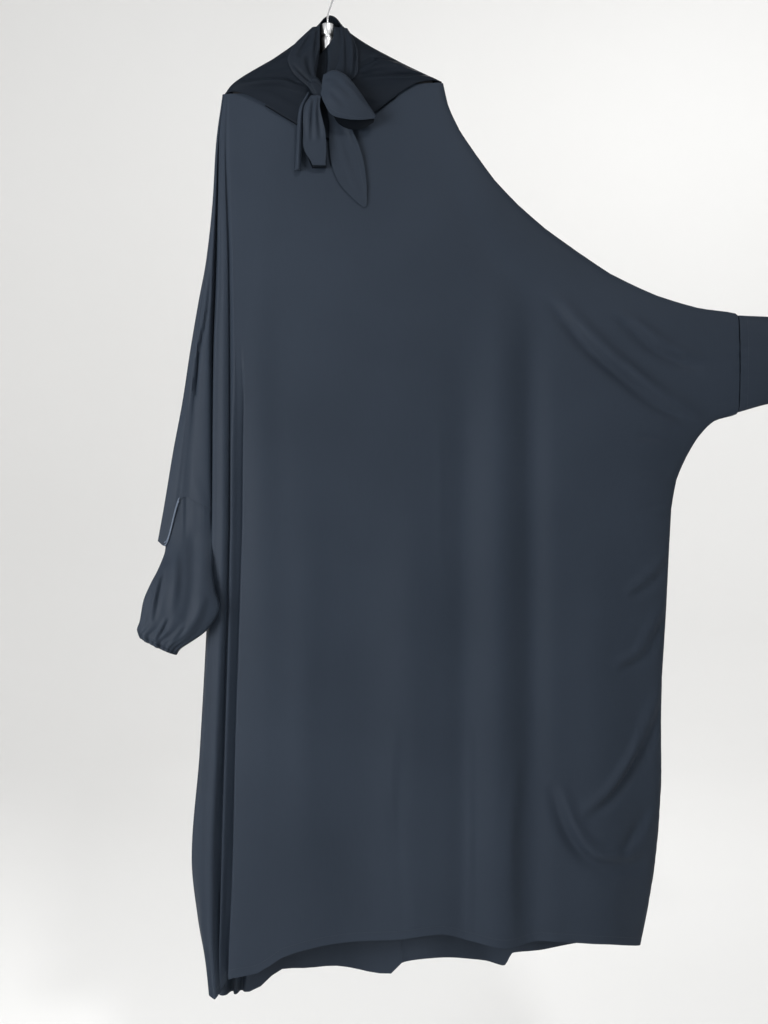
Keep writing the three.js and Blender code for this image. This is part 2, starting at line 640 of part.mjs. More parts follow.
// The arms: an oval bar that falls from the neck to each tip.
const armHeight = 17;
const armLine = new THREE.CatmullRomCurve3([
  at(-162, 214, 0), at(-130, 202, 0), at(-70, 180, 0), at(13, 160, 0), at(95, 173, 0), at(150, 188, 0), at(184, 198, 0),
]);
const armSection = new THREE.Shape().absellipse(0, 0, armThickness / 2, armHeight / 2, 0, Math.PI * 2);
add('hanger_arms', new THREE.ExtrudeGeometry(armSection, {
  extrudePath: armLine,
  steps: 16,
  curveSegments: 6,
}), materials.plastic);

// The chrome neck, turned: a collar, a groove and a taper down to the arms.
const neckProfile = table(['radius', 'drop'], [
  [0, 151.2], [5, 151.2], [5.4, 137], [9.6, 122], [9.6, 115.5], [8, 114], [8, 112], [11.2, 110.5],
  [11.2, 93], [9.6, 91.5], [0, 91.5],
]);
const neck = new THREE.LatheGeometry(neckProfile.map((p) => new THREE.Vector2(p.radius, -p.drop)), 20);
neck.rotateX(Math.PI / 2);
const neckX = 2.5;
neck.translate(neckX, 0, 0);
add('hanger_neck', neck, materials.chrome);

// The hook rises from the neck, swings to the wearer's left and bends over to its free end.
const hookTop = hookWire / 2;
const bendCentre = hookTop - hookRadius;
const bend = [20, 55, 90, 130, 170, 205].map((degrees) => {
  const angle = (degrees * Math.PI) / 180;
  return new THREE.Vector3(hookRadius * Math.cos(angle), 0, bendCentre + hookRadius * Math.sin(angle));
});
const hookPath = new THREE.CatmullRomCurve3([
  new THREE.Vector3(neckX, 0, -91.2), new THREE.Vector3(neckX, 0, -78), new THREE.Vector3(11.7, 0, -48), ...bend,
]);
const wire = new THREE.Shape().absarc(0, 0, hookWire / 2, 0, Math.PI * 2);
add('hanger_hook', new THREE.ExtrudeGeometry(wire, {
  extrudePath: hookPath,
  steps: 24,
  curveSegments: 4,
}), materials.chrome);

export default jilbab;
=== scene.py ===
import math

import bmesh
import bpy
import numpy as np
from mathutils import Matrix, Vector


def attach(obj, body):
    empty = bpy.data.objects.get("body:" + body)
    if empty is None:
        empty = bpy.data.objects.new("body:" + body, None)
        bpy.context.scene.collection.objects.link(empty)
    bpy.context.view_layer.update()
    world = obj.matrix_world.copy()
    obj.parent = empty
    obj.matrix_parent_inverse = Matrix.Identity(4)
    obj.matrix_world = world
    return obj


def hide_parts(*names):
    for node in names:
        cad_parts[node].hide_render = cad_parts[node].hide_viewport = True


# a hooded batwing jilbab of crepe on its hanger
# tables are in millimetres, heights are drops below the hook, made pieces are in metres

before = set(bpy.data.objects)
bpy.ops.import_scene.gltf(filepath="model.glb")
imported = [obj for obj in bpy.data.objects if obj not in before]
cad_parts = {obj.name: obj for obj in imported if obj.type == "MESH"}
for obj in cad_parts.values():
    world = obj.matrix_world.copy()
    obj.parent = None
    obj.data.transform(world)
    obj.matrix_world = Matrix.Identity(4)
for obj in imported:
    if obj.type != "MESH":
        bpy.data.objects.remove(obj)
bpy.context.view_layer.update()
print("stage: frame loaded")


# curves and tables

def clamp01(t):
    return np.clip(t, 0.0, 1.0)


def blend(a, b, t):
    return a + (b - a) * t


def between(a, b, t):
    return clamp01((t - a) / (b - a))


def soft(t):
    return t * t * (3 - 2 * t)


def roundOff(t):
    return np.sqrt(1 - (1 - clamp01(t)) ** 2)


def bell(t):
    return np.exp(-t * t)


# a table's columns by name, from its rows one after another; the first column is what it is read by
def places(columns, values):
    names = columns.split()
    rows = np.reshape(np.array(values, float), (-1, len(names)))
    return {name: rows[:, i] for i, name in enumerate(names)}


# a column read at places of the table's first one, smooth and never past its neighbours
def readAt(rows, column, where):
    k, v = next(iter(rows.values())), rows[column]
    slope = np.diff(v) / np.diff(k)
    tangent = np.empty_like(v)
    tangent[0], tangent[-1] = slope[0], slope[-1]
    product, total = slope[:-1] * slope[1:], slope[:-1] + slope[1:]
    tangent[1:-1] = np.where(product > 0, 2 * product / np.where(total == 0, 1, total), 0)
    where = np.clip(where, k[0], k[-1])
    i = np.clip(np.searchsorted(k, where, side="right") - 1, 0, len(k) - 2)
    span = k[i + 1] - k[i]
    t = (where - k[i]) / span
    a, b, ta, tb = v[i], v[i + 1], tangent[i] * span, tangent[i + 1] * span
    return a + ta * t + (3 * (b - a) - 2 * ta - tb) * t * t + (2 * (a - b) + ta + tb) * t ** 3


# a smooth curve through points, for one line or for many side by side
def curveThrough(points, t):
    p = np.asarray(points, float)
    p = np.concatenate([2 * p[:1] - p[1:2], p, 2 * p[-1:] - p[-2:-1]])
    gap = np.sqrt(np.maximum(np.linalg.norm(np.diff(p, axis=0), axis=-1, keepdims=True), 1e-9))
    count = len(p) - 3
    s = np.clip(np.asarray(t, float) * count, 0, count)
    i = np.minimum(s.astype(int), count - 1)
    w = (s - i).reshape(-1, *([1] * (p.ndim - 1)))
    p0, p1, p2, p3 = p[i], p[i + 1], p[i + 2], p[i + 3]
    d0, d1, d2 = gap[i], gap[i + 1], gap[i + 2]
    m1 = ((p1 - p0) / d0 - (p2 - p0) / (d0 + d1) + (p2 - p1) / d1) * d1
    m2 = ((p2 - p1) / d1 - (p3 - p1) / (d1 + d2) + (p3 - p2) / d2) * d1
    return p1 + m1 * w + (3 * (p2 - p1) - 2 * m1 - m2) * w * w + (2 * (p1 - p2) + m1 + m2) * w ** 3


# one line of a table, in its X, Drop and Y columns
def lineOf(table, part):
    return np.stack([table[part + axis] for axis in ("X", "Drop", "Y")], 1)


def evenly(count):
    return np.linspace(0, 1, count + 1)


def aroundTurn(count):
    return np.arange(count) / count * math.tau


def place(x, drop, y):
    x, drop, y = np.broadcast_arrays(x, drop, y)
    return np.stack([x, y, -drop], axis=-1) / 1000.0


# a stretch of line from a to b, seen from many points: the share along it, and how far they lie off it
def offStretch(x, drop, a, b):
    d = b - a
    t = clamp01(((x - a[0]) * d[0] + (drop - a[1]) * d[1]) / max(d @ d, 1e-9))
    return t, x - a[0] - d[0] * t, drop - a[1] - d[1] * t


# soft creases, given one by one: each has half its width, its height, how far it leans into a trough,
# and then its line as x and drop in turn
def creaseField(x, drop, creases):
    shape = np.broadcast(x, drop).shape
    total = np.zeros(shape)
    for half, height, lean, *line in creases:
        line = np.reshape(np.array(line, float), (-1, 2))
        line = curveThrough(line, np.linspace(0, 1, 4 * len(line)))
        steps = np.linalg.norm(np.diff(line, axis=0), axis=1)
        start = np.concatenate([[0], np.cumsum(steps)])
        nearest, along, side = np.full(shape, 1e9), np.zeros(shape), np.zeros(shape)
        for i, (a, b) in enumerate(zip(line[:-1], line[1:])):
            t, offX, offDrop = offStretch(x, drop, a, b)
            distance = np.hypot(offX, offDrop)
            closer = distance < nearest
            nearest = np.where(closer, distance, nearest)
            along = np.where(closer, start[i] + t * steps[i], along)
            side = np.where(closer, np.sign(offX * (b - a)[1] - offDrop * (b - a)[0]), side)
        taper = np.sin(math.pi * clamp01(along / start[-1])) ** 0.7
        total += height * taper * (bell(nearest / half) - lean * bell((nearest * side - 1.5 * half) / half))
    return total


# meshes from grids of points

def gridNormals(grid, closed=False):
    if closed:
        padded = np.concatenate([grid[:, -1:], grid, grid[:, :1]], axis=1)
        across = (padded[:, 2:] - padded[:, :-2]) / 2
    else:
        across = np.gradient(grid, axis=1)
    normal = np.cross(across, np.gradient(grid, axis=0))
    return normal / np.maximum(np.linalg.norm(normal, axis=-1, keepdims=True), 1e-12)


def gridMesh(name, grid, keep=None, closed=False):
    rows, across = grid.shape[0] - 1, grid.shape[1]
    columns = across if closed else across - 1
    r, c = np.meshgrid(np.arange(rows), np.arange(columns), indexing="ij")
    wanted = np.ones((rows, columns), bool) if keep is None else keep
    r, c = r[wanted], c[wanted]
    right = (c + 1) % across
    faces = np.stack([r * across + c, (r + 1) * across + c, (r + 1) * across + right, r * across + right], axis=1)
    used, compact = np.unique(faces, return_inverse=True)
    compact = compact.reshape(faces.shape)
    down = np.concatenate([[0], np.cumsum(np.linalg.norm(np.diff(grid, axis=0), axis=-1).mean(axis=1))])
    ring = np.concatenate([grid, grid[:, :1]], axis=1) if closed else grid
    over = np.concatenate([[0], np.cumsum(np.linalg.norm(np.diff(ring, axis=1), axis=-1).mean(axis=0))])
    corners = ((0, 0), (0, 1), (1, 1), (1, 0))
    uv = np.stack([np.stack([over[c + i], down[r + j]], 1) for i, j in corners], axis=1)
    mesh = bpy.data.meshes.new(name)
    mesh.from_pydata(grid.reshape(-1, 3)[used].tolist(), [], compact.tolist())
    layer = mesh.uv_layers.new(name="cut")
    layer.data.foreach_set("uv", uv.reshape(-1))
    mesh.polygons.foreach_set("use_smooth", np.ones(len(faces), bool))
    mesh.update()
    return mesh


def addObject(name, data):
    obj = bpy.data.objects.new(name, data)
    bpy.context.collection.objects.link(obj)
    return obj


def plainCopy(obj, name):
    shown = bpy.context.evaluated_depsgraph_get()
    mesh = bpy.data.meshes.new_from_object(obj.evaluated_get(shown))
    mesh.name = name
    bpy.data.objects.remove(obj)
    return addObject(name, mesh)


def clothPiece(name, grid, material, thickness=1.1, keep=None, closed=False, sharp=75):
    mesh = gridMesh(name, grid, keep, closed)
    mesh.materials.append(material)
    obj = addObject(name + "Sheet", mesh)
    wall = obj.modifiers.new("wall", "SOLIDIFY")
    wall.thickness, wall.offset = thickness / 1000, 0
    made = plainCopy(obj, name)
    made.data.set_sharp_from_angle(angle=math.radians(sharp))
    return made


def closePoles(obj):
    work = bmesh.new()
    work.from_mesh(obj.data)
    bmesh.ops.holes_fill(work, edges=[e for e in work.edges if e.is_boundary], sides=0)
    bmesh.ops.recalc_face_normals(work, faces=work.faces)
    work.to_mesh(obj.data)
    work.free()
    obj.data.polygons.foreach_set("use_smooth", np.ones(len(obj.data.polygons), bool))


def solidPiece(name, grid, material, node, sharp=50):
    mesh = gridMesh(name, grid, closed=True)
    mesh.materials.append(material)
    made = addObject(name, mesh)
    closePoles(made)
    if sharp:
        made.data.set_sharp_from_angle(angle=math.radians(sharp))
    return settle(made, node)


# painted shade: faces where shade falls get a dark copy of the crepe
def shadeFaces(piece, inside):
    piece.data.materials.append(paintedShadeCrepe)
    for face in piece.data.polygons:
        if inside(face.center):
            face.material_index = 1


def settle(piece, node):
    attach(piece, "root")
    if node:
        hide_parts(node)
    return piece


# materials

class Wire:
    def __init__(self, socket):
        self.socket = socket

    @staticmethod
    def make(tree, kind, values=None, out=0, **settings):
        node = tree.nodes.new(kind)
        for key, value in settings.items():
            setattr(node, key, value)
        for key, value in (values or {}).items():
            if isinstance(value, Wire):
                tree.links.new(value.socket, node.inputs[key])
            else:
                node.inputs[key].default_value = value
        return Wire(node.outputs[out]) if len(node.outputs) else node

    def calculate(self, operation, other):
        return Wire.make(self.socket.id_data, "ShaderNodeMath", {0: self, 1: other}, operation=operation)

    def __add__(self, other):
        return self.calculate("ADD", other)

    __radd__ = __add__

    def __sub__(self, other):
        return self.calculate("SUBTRACT", other)

    def __mul__(self, other):
        return self.calculate("MULTIPLY", other)


def startMaterial(name):
    material = bpy.data.materials.new(name)
    material.use_nodes = True
    tree = material.node_tree
    tree.nodes.clear()
    return material, tree, Wire.make(tree, "ShaderNodeTexCoord", out=3)


def finishMaterial(tree, values):
    shader = Wire.make(tree, "ShaderNodeBsdfPrincipled", values)
    Wire.make(tree, "ShaderNodeOutputMaterial", {"Surface": shader})


def mixColour(tree, factor, a, b):
    return Wire.make(tree, "ShaderNodeMix", {0: factor, 6: (*a, 1), 7: (*b, 1)}, out=2, data_type="RGBA")


def noise(tree, where, scale, detail, roughness=0.5):
    values = {"Vector": where, "Scale": scale, "Detail": detail, "Roughness": roughness}
    return Wire.make(tree, "ShaderNodeTexNoise", values)


def stretch(tree, where, scale):
    return Wire.make(tree, "ShaderNodeMapping", {"Vector": where, "Scale": scale})


def bump(tree, height, strength, depth, **under):
    return Wire.make(tree, "ShaderNodeBump", {"Height": height, "Strength": strength, "Distance": depth, **under})


crepe = {
    "deep": (0.0146, 0.0208, 0.0312), "pale": (0.0187, 0.0260, 0.0384),
    "grainPerMetre": 1500.0, "slubPerMetre": (420.0, 26.0, 1.0), "cloudPerMetre": 3.1,
    "grainDepth": 0.00012, "slubDepth": 0.00008, "roughness": 0.60, "roughnessSpan": 0.12,
    "sheen": 0.02, "sheenTint": (0.55, 0.62, 0.74, 1), "specular": 0.11,
}


# crepe: a pebbled grain of twisted yarn along the cut, faint slubs down its length, and a slow change of shade
def crepeMaterial(name, shade=1.0, gloss=1.0):
    material, tree, objectPlace = startMaterial(name)
    cut = Wire.make(tree, "ShaderNodeUVMap", uv_map="cut")
    grain = noise(tree, cut, crepe["grainPerMetre"], 2.0, 0.6)
    slub = noise(tree, stretch(tree, cut, crepe["slubPerMetre"]), 1.0, 3.0)
    cloud = noise(tree, objectPlace, crepe["cloudPerMetre"], 3.0, 0.45)
    mottle = cloud * 0.7 + slub * 0.2 + grain * 0.1
    tone = Wire.make(tree, "ShaderNodeMapRange", {"Value": mottle, "From Min": 0.35, "From Max": 0.65})
    # shade darkens the colour; the hood, band and darkest copies use it as painted shade
    deep, pale = (tuple(v * shade for v in crepe[key]) for key in ("deep", "pale"))
    coarse = bump(tree, slub, 0.5, crepe["slubDepth"])
    finishMaterial(tree, {
        "Base Color": mixColour(tree, tone, deep, pale),
        "Roughness": crepe["roughness"] + (grain - 0.5) * crepe["roughnessSpan"] + (slub - 0.5) * 0.06,
        "Normal": bump(tree, grain, 0.6, crepe["grainDepth"], Normal=coarse),
        "Specular IOR Level": crepe["specular"] * gloss, "Sheen Weight": crepe["sheen"] * gloss,
        "Sheen Roughness": 0.45, "Sheen Tint": crepe["sheenTint"],
    })
    return material


def threadMaterial(name, deep, pale):
    material, tree, objectPlace = startMaterial(name)
    twist = noise(tree, objectPlace, 2400.0, 1.0)
    finishMaterial(tree, {
        "Base Color": mixColour(tree, twist, deep, pale), "Roughness": 0.45 + twist * 0.15,
        "Normal": bump(tree, twist, 0.5, 0.00008), "Specular IOR Level": 0.4})
    return material


def chromeMaterial(name, polish):
    material, tree, objectPlace = startMaterial(name)
    haze = noise(tree, objectPlace, 160.0, 3.0)
    scratch = noise(tree, stretch(tree, objectPlace, (1800.0, 1800.0, 60.0)), 1.0, 1.0)
    finishMaterial(tree, {
        "Base Color": mixColour(tree, haze, (0.74, 0.75, 0.77), (0.86, 0.865, 0.87)), "Metallic": 1.0,
        "Roughness": polish + haze * 0.12, "Normal": bump(tree, scratch, 0.15, 0.00003)})
    return material


def armMaterial(name):
    material, tree, objectPlace = startMaterial(name)
    grain, cloud = noise(tree, objectPlace, 900.0, 2.0), noise(tree, objectPlace, 40.0, 2.0)
    finishMaterial(tree, {
        "Base Color": mixColour(tree, cloud, (0.010, 0.011, 0.013), (0.017, 0.018, 0.020)),
        "Roughness": 0.55 + grain * 0.2, "Normal": bump(tree, grain, 0.4, 0.0001), "Specular IOR Level": 0.2})
    return material


def paintMaterial(name):
    material, tree, objectPlace = startMaterial(name)
    cloud = noise(tree, objectPlace, 0.35, 2.0)
    finishMaterial(tree, {
        "Base Color": mixColour(tree, cloud, (0.80, 0.795, 0.785), (0.86, 0.86, 0.855)),
        "Roughness": 0.85, "Specular IOR Level": 0.2})
    return material


bodyCrepe = crepeMaterial("bodyCrepe")
# painted shade: the hood's crepe is a darker copy of the body's
hoodPaintedShadeCrepe = crepeMaterial("hoodPaintedShadeCrepe", 0.40, 0.45)
sleeveCrepe = crepeMaterial("sleeveCrepe", 0.97)
tieCrepe = crepeMaterial("tieCrepe", 0.96)
# painted shade: a dark copy of the crepe for faces where shade falls
paintedShadeCrepe = crepeMaterial("paintedShadeCrepe", 0.20, 0.3)
# painted shade: the bands and the knot use a darker copy of the crepe
bandPaintedShadeCrepe = crepeMaterial("bandPaintedShadeCrepe", 0.50, 0.6)
thread = threadMaterial("thread", (0.012, 0.017, 0.026), (0.024, 0.031, 0.043))
# painted highlight: a lighter thread for the cuff seam's lit edge
paintedHighlightThread = threadMaterial("paintedHighlightThread", (0.058, 0.077, 0.110), (0.105, 0.132, 0.178))
chrome = chromeMaterial("polishedChrome", 0.08)
neckChrome = chromeMaterial("neckChrome", 0.30)
armPlastic = armMaterial("armPlastic")
palePaint = paintMaterial("palePaint")
print("stage: materials made")


# stitches: one tree of nodes, laid along any line

def stitchTree():
    tree = bpy.data.node_groups.new("stitchRun", "GeometryNodeTree")
    tree.is_modifier = True
    entry = tree.interface
    entry.new_socket("Geometry", in_out="INPUT", socket_type="NodeSocketGeometry")
    sockets = {}
    for label, kind, usual in (("Stitch Length", "Float", 0.0026), ("Pitch", "Float", 0.0036),
                               ("Thread Width", "Float", 0.0006), ("Seed", "Int", 7)):
        made = entry.new_socket(label, in_out="INPUT", socket_type="NodeSocket" + kind)
        made.default_value = usual
        sockets[label] = made.identifier
    entry.new_socket("Geometry", in_out="OUTPUT", socket_type="NodeSocketGeometry")
    source = tree.nodes.new("NodeGroupInput")
    given = {output.name: Wire(output) for output in source.outputs if output.name}
    points = Wire.make(tree, "GeometryNodeCurveToPoints", {
        "Curve": given["Geometry"], "Length": given["Pitch"]}, mode="LENGTH").socket.node
    bead = Wire.make(tree, "GeometryNodeMeshUVSphere", {"Segments": 6, "Rings": 4, "Radius": 0.5})
    uneven = Wire.make(tree, "FunctionNodeRandomValue", {2: 0.86, 3: 1.08, "Seed": given["Seed"]}, out=1,
                       data_type="FLOAT")
    size = Wire.make(tree, "ShaderNodeCombineXYZ", {
        "X": given["Thread Width"], "Y": given["Thread Width"], "Z": given["Stitch Length"] * uneven})
    laid = Wire.make(tree, "GeometryNodeInstanceOnPoints", {
        "Points": Wire(points.outputs["Points"]), "Instance": bead,
        "Rotation": Wire(points.outputs["Rotation"]), "Scale": size})
    real = Wire.make(tree, "GeometryNodeRealizeInstances", {"Geometry": laid})
    smooth = Wire.make(tree, "GeometryNodeSetShadeSmooth", {"Geometry": real})
    finish = Wire.make(tree, "GeometryNodeSetMaterial", {"Geometry": smooth, "Material": thread})
    Wire.make(tree, "NodeGroupOutput", {"Geometry": finish})
    return tree, sockets


stitchRun, stitchSockets = stitchTree()


def stitchPiece(name, lines, length, pitch, width, seed=7):
    curve = bpy.data.curves.new(name, "CURVE")
    curve.dimensions = "3D"
    for line in lines:
        spline = curve.splines.new("POLY")
        spline.points.add(len(line) - 1)
        flat = np.concatenate([line, np.ones((len(line), 1))], axis=1)
        spline.points.foreach_set("co", flat.reshape(-1))
    obj = addObject(name + "Run", curve)
    run = obj.modifiers.new("stitches", "NODES")
    run.node_group = stitchRun
    sizes = {"Stitch Length": length / 1000, "Pitch": pitch / 1000, "Thread Width": width / 1000, "Seed": seed}
    for label, value in sizes.items():
        run[stitchSockets[label]] = value
    return settle(plainCopy(obj, name), None)


# a line on a grid, lifted off it to the outside
def liftedLine(grid, normals, row=None, column=None, lift=0.62, side=1):
    points = grid[row] if row is not None else grid[:, column]
    normal = normals[row] if row is not None else normals[:, column]
    return points + normal * side * lift / 1000


# the body panels

panelRows = {"row": np.arange(30.0)} | places("fold edge edgeX", [
    215, 195, 204,  252, 232, 212.5,  298, 276, 232.5,  344, 320, 262,  390, 364, 294.3,  436, 407, 335,
    486, 449, 383,  534, 490, 440,  582, 528, 497,  628, 566, 578,  664, 587, 648,  695, 601, 720,  741, 657, 720,
    789, 713, 720,  835, 769, 720,  866, 785, 678,  897, 813, 650,  928, 848, 629,  961, 888, 612,  1005, 938, 603,
    1060, 1000, 599.5,  1135, 1078, 595.7,  1210, 1155, 591.5,  1285, 1233, 586.5,  1360, 1312, 585,
    1435, 1390, 585.5,  1510, 1468, 582.3,  1585, 1546, 575.5,  1660, 1620, 564.5,  1746, 1700, 549])
cuffSeamX, cuffTopRow, cuffBottomRow, sleeveEndRow, lastRow = 720, 11, 14, 18, 29
gapColumn, firstSmooth, seamColumn, lastColumn = 4, 16, 22, 32
seamDepth = 0.9
# towards the cuff the panels lie flatter, and the cuff's seam puckers them
wing = {"from": 430, "share": 0.45, "puckerWide": 16, "puckerHigh": 0.9}
waveFade = 260
gapReach = {"start": 225, "full": 330, "close": 120}  # where the gap beside the hanging sleeve lies open
hemReach = (1150, 1746)  # the drops over which a panel's own hem line takes over
centreBack = {"topX": 13, "bottomX": 133, "top": 205, "bottom": 1742, "pull": 1.4, "wide": 4}
panelGrid = {"pitch": 9, "finePitch": 6.4, "fineFrom": 590, "fineTo": 1580, "leastSteps": 3}

foldPlaces = places("drop gap turn bandB grooveB bandA grooveA ridge", [
    215, -177.8, -176.1, -174.3, -172, -168.5, -164.5, -159,
    300, -188.2, -184.7, -178.7, -172.5, -166.5, -161, -155,
    404, -191.7, -184.7, -177, -170.5, -163.5, -155.5, -149.5,
    508, -195.1, -183.5, -174.5, -168.5, -160.5, -151, -145,
    664, -198.6, -188.2, -173.6, -167.2, -157, -147.5, -141,  750, -197, -189.9, -173.5, -166.7, -155, -145.2, -139,
    961, -198, -191, -174, -167, -155.7, -146, -140,  1030, -203.5, -193, -175.4, -168, -157, -147.8, -142,
    1131, -208.1, -195.1, -177.8, -169.2, -158.8, -150.1, -144.9,
    1356, -221.1, -203.8, -186.5, -174.3, -165.7, -157, -151.8,
    1529, -235, -212.4, -193.4, -179.5, -170.9, -162.2, -155.3,
    1625, -224.6, -209, -193.4, -181.3, -174.3, -164, -158.8,
    1703, -209.8, -200.3, -189.9, -179.5, -176.1, -168.3, -162.2,
    1754, -200.3, -195.1, -186.5, -178.7, -174.3, -168.3, -163.1])
foldNames = ["turn", "bandB", "grooveB", "bandA", "grooveA", "ridge"]
# the drops over which a fold comes in, where that isn't the usual stretch
foldStarts = {"grooveB": (190, 430), "bandA": (640, 860), "grooveA": (640, 860), "ridge": (640, 860)}

sleevePlaces = places("drop edge crease inner", [
    215, -181, -179.8, -178.6,  300, -192.3, -190.8, -189.4,  401, -198.4, -196, -193.6,  505, -209.8, -204.5, -199,
    575, -222.8, -213, -203,  662, -237.6, -224.6, -207,  750, -251, -231.5, -208,  836, -267.2, -240, -207,
    940, -284.5, -251, -206,  1003, -296, -258, -206])

edgeRound = places("drop width", [195, 14,  300, 30,  420, 60,  600, 80])

frontPanel = {
    "side": -1,
    # the shell's depth by drop, and broad waves: the middle, half width, top, bottom and height of each
    "depth": places("drop depth", [195, 7.05,  310, 8.6,  450, 13,  700, 21,  1000, 27,  1400, 31,  1700, 34]),
    "waves": [[-60, 55, 700, 1760, 4], [60, 45, 900, 1760, -4], [150, 38, 820, 1760, 4], [238, 26, 600, 1760, -5],
              [300, 28, 480, 1760, 6], [358, 26, 480, 1700, -9], [470, 40, 900, 1760, 5], [545, 30, 1100, 1760, -4]],
    "hem": places("x drop", [
        -204, 1776,  -196, 1786,  -186, 1780,  -174, 1758,  -163, 1746,  -120, 1737,  -66, 1704.5,  13, 1687,
        118, 1679,  197, 1670,  246, 1682,  318, 1692,  382, 1683,  473, 1685.5,  549, 1700]),
    # each fold's two sides: how far from its place and its share of the depth, with the crisp ones lapped over
    "pleats": [(-5.5, 0.62), (3, 0.72), (-3, 0.86), (5.2, 0.64), (-3.6, 0.46), (-1.6, 0.44),
               (-8, 0.64), (1.5, 0.50), (-2, 0.42), (5.2, 0.36), (-3.2, 0.96), (5, 1.04)],
    "spread": 1, "gapLift": -7, "innerLift": 12, "innerShare": 0.45,
    "mouth": {"edge": 34, "outer": 42, "crease": -43, "inner": -14},
    "creases": [
        [7.5, 6.5, 1.1, 625, 995, 594, 1019, 561, 1055, 515, 1085],
        [8, 7.5, 1.1, 612, 1075, 589, 1108, 561, 1154, 540, 1187, 496, 1208],
        [9, 9.5, 1.1, 598, 1225, 571, 1280, 551, 1327, 519, 1382, 486, 1424, 437, 1466],
        [11, -9.5, 0.9, 388, 1415, 416, 1495, 454, 1541, 502, 1553, 560, 1549],
        [9, -6.5, 0.8, 564, 1452, 537, 1498, 508, 1536],
        [11, -10.5, 1.0, 385, 575, 454, 657, 519, 713, 583, 760, 655, 796],
        [9, -8.5, 1.0, 505, 605, 583, 667, 655, 694], [6, 3.2, 0.9, 540, 951, 602, 941],
        [6, 2.8, 0.9, 532, 822, 580, 828, 612, 832], [6, 2.6, 0.9, 538, 884, 608, 886],
        [5, 1.0, 0.3, 198, 760, 198, 905, 198, 1040], [6, 1.2, 0.3, 250, 1290, 250, 1500, 248, 1700],
        [20, 2.2, 0.4, -100, 300, -112, 700, -104, 1200, -118, 1700],
        [22, 2.0, 0.4, -20, 900, -34, 1300, -10, 1690], [12, 2.4, 0.5, 330, 1350, 318, 1530, 322, 1690],
        [12, 2.0, 0.4, 120, 1300, 108, 1500, 118, 1680],
        [3.0, 4.6, 1.1, -204, 520, -212, 600, -225, 664, -239, 837, -250, 935],
        [2.6, -4.0, 0.6, -219, 640, -234, 780, -245, 905], [5, 1.6, 0.4, -226, 880, -214, 930, -209, 955],
        [26, -2.0, 0.3, 188, 240, 240, 420, 330, 560, 470, 680]],
}
backPanel = {
    "side": 1,
    "depth": places("drop depth", [195, 7.05,  330, 9,  450, 12,  700, 17,  1000, 20,  1400, 22,  1790, 25]),
    "waves": [[-110, 34, 800, 1800, 9], [-40, 40, 700, 1800, -8], [60, 45, 560, 1800, 9], [185, 40, 900, 1800, -8],
              [285, 36, 700, 1800, 10], [372, 34, 640, 1760, -9], [470, 42, 820, 1760, 8], [545, 26, 1000, 1760, -5]],
    "hem": places("x drop", [
        -204, 1777,  -190, 1797,  -167, 1793,  -130, 1792,  -97, 1766,  -70, 1750,  0, 1748,  94, 1764,  122, 1762,
        133, 1742,  200, 1731,  281, 1743,  314, 1750,  330, 1725,  411, 1713,  549, 1701]),
    "shares": {"turn": 0.75, "bandB": 0.5, "grooveB": 0.95, "bandA": 0.45, "grooveA": 1.05, "ridge": 0.8},
    "spread": 1.5, "gapLift": 10, "innerLift": 8, "innerShare": 0,
    "mouth": {"edge": 34, "outer": 44, "crease": 22, "inner": 8},
    "creases": [
        [10, 3.5, 0.5, 588, 1020, 560, 1062, 530, 1100], [12, 4.5, 0.5, 584, 1130, 548, 1190, 500, 1240],
        [14, 4.5, 0.5, 576, 1330, 540, 1400, 480, 1455], [24, -4.0, 0.5, 400, 590, 480, 655, 580, 730],
        [20, 2.5, 0.4, 520, 640, 600, 690, 700, 735], [22, 3.0, 0.5, 150, 330, 230, 560, 300, 800, 330, 1100],
        [18, 3.2, 0.5, -60, 340, -80, 620, -64, 900, -80, 1250], [18, -2.6, 0.4, 70, 360, 52, 700, 70, 1000],
        [12, 2.4, 0.5, -120, 420, -132, 800, -118, 1200], [13, 2.6, 0.5, 230, 1200, 218, 1450, 226, 1720],
        [14, 2.8, 0.5, 410, 1100, 396, 1400, 404, 1700], [4, 2.0, 0.6, -223, 664, -240, 800, -262, 940]],
}

rowEdge = np.stack([panelRows["edgeX"], panelRows["edge"]], axis=1)
outerEdges = [rowEdge[:cuffTopRow + 1], rowEdge[cuffBottomRow:]]


def edgeDistance(x, drop):
    least = 1e9
    for line in outerEdges:
        for a, b in zip(line[:-1], line[1:]):
            offX, offDrop = offStretch(x, drop, a, b)[1:]
            least = np.minimum(least, np.hypot(offX, offDrop))
    return least


# how far the smooth part of a panel stands off the middle plane
def panelDepth(x, drop, panel, creased=True):
    inWing = soft(between(wing["from"], cuffSeamX, x))
    depth = readAt(panel["depth"], "depth", drop) * blend(1, wing["share"], inWing) - seamDepth
    rounded = roundOff(edgeDistance(x, drop) / readAt(edgeRound, "width", drop))
    for centre, half, top, bottom, height in panel["waves"]:
        length = soft(between(top, top + waveFade, drop)) * soft(between(bottom + waveFade, bottom, drop))
        depth = depth + height * bell((x - centre) / half) * length
    if creased:
        pucker = np.sin(drop / 4.3 + 1.3 * np.sin(drop / 19)) * bell((cuffSeamX - x) / wing["puckerWide"])
        depth = depth + creaseField(x, drop, panel["creases"]) + pucker * wing["puckerHigh"]
    return seamDepth + depth * rounded


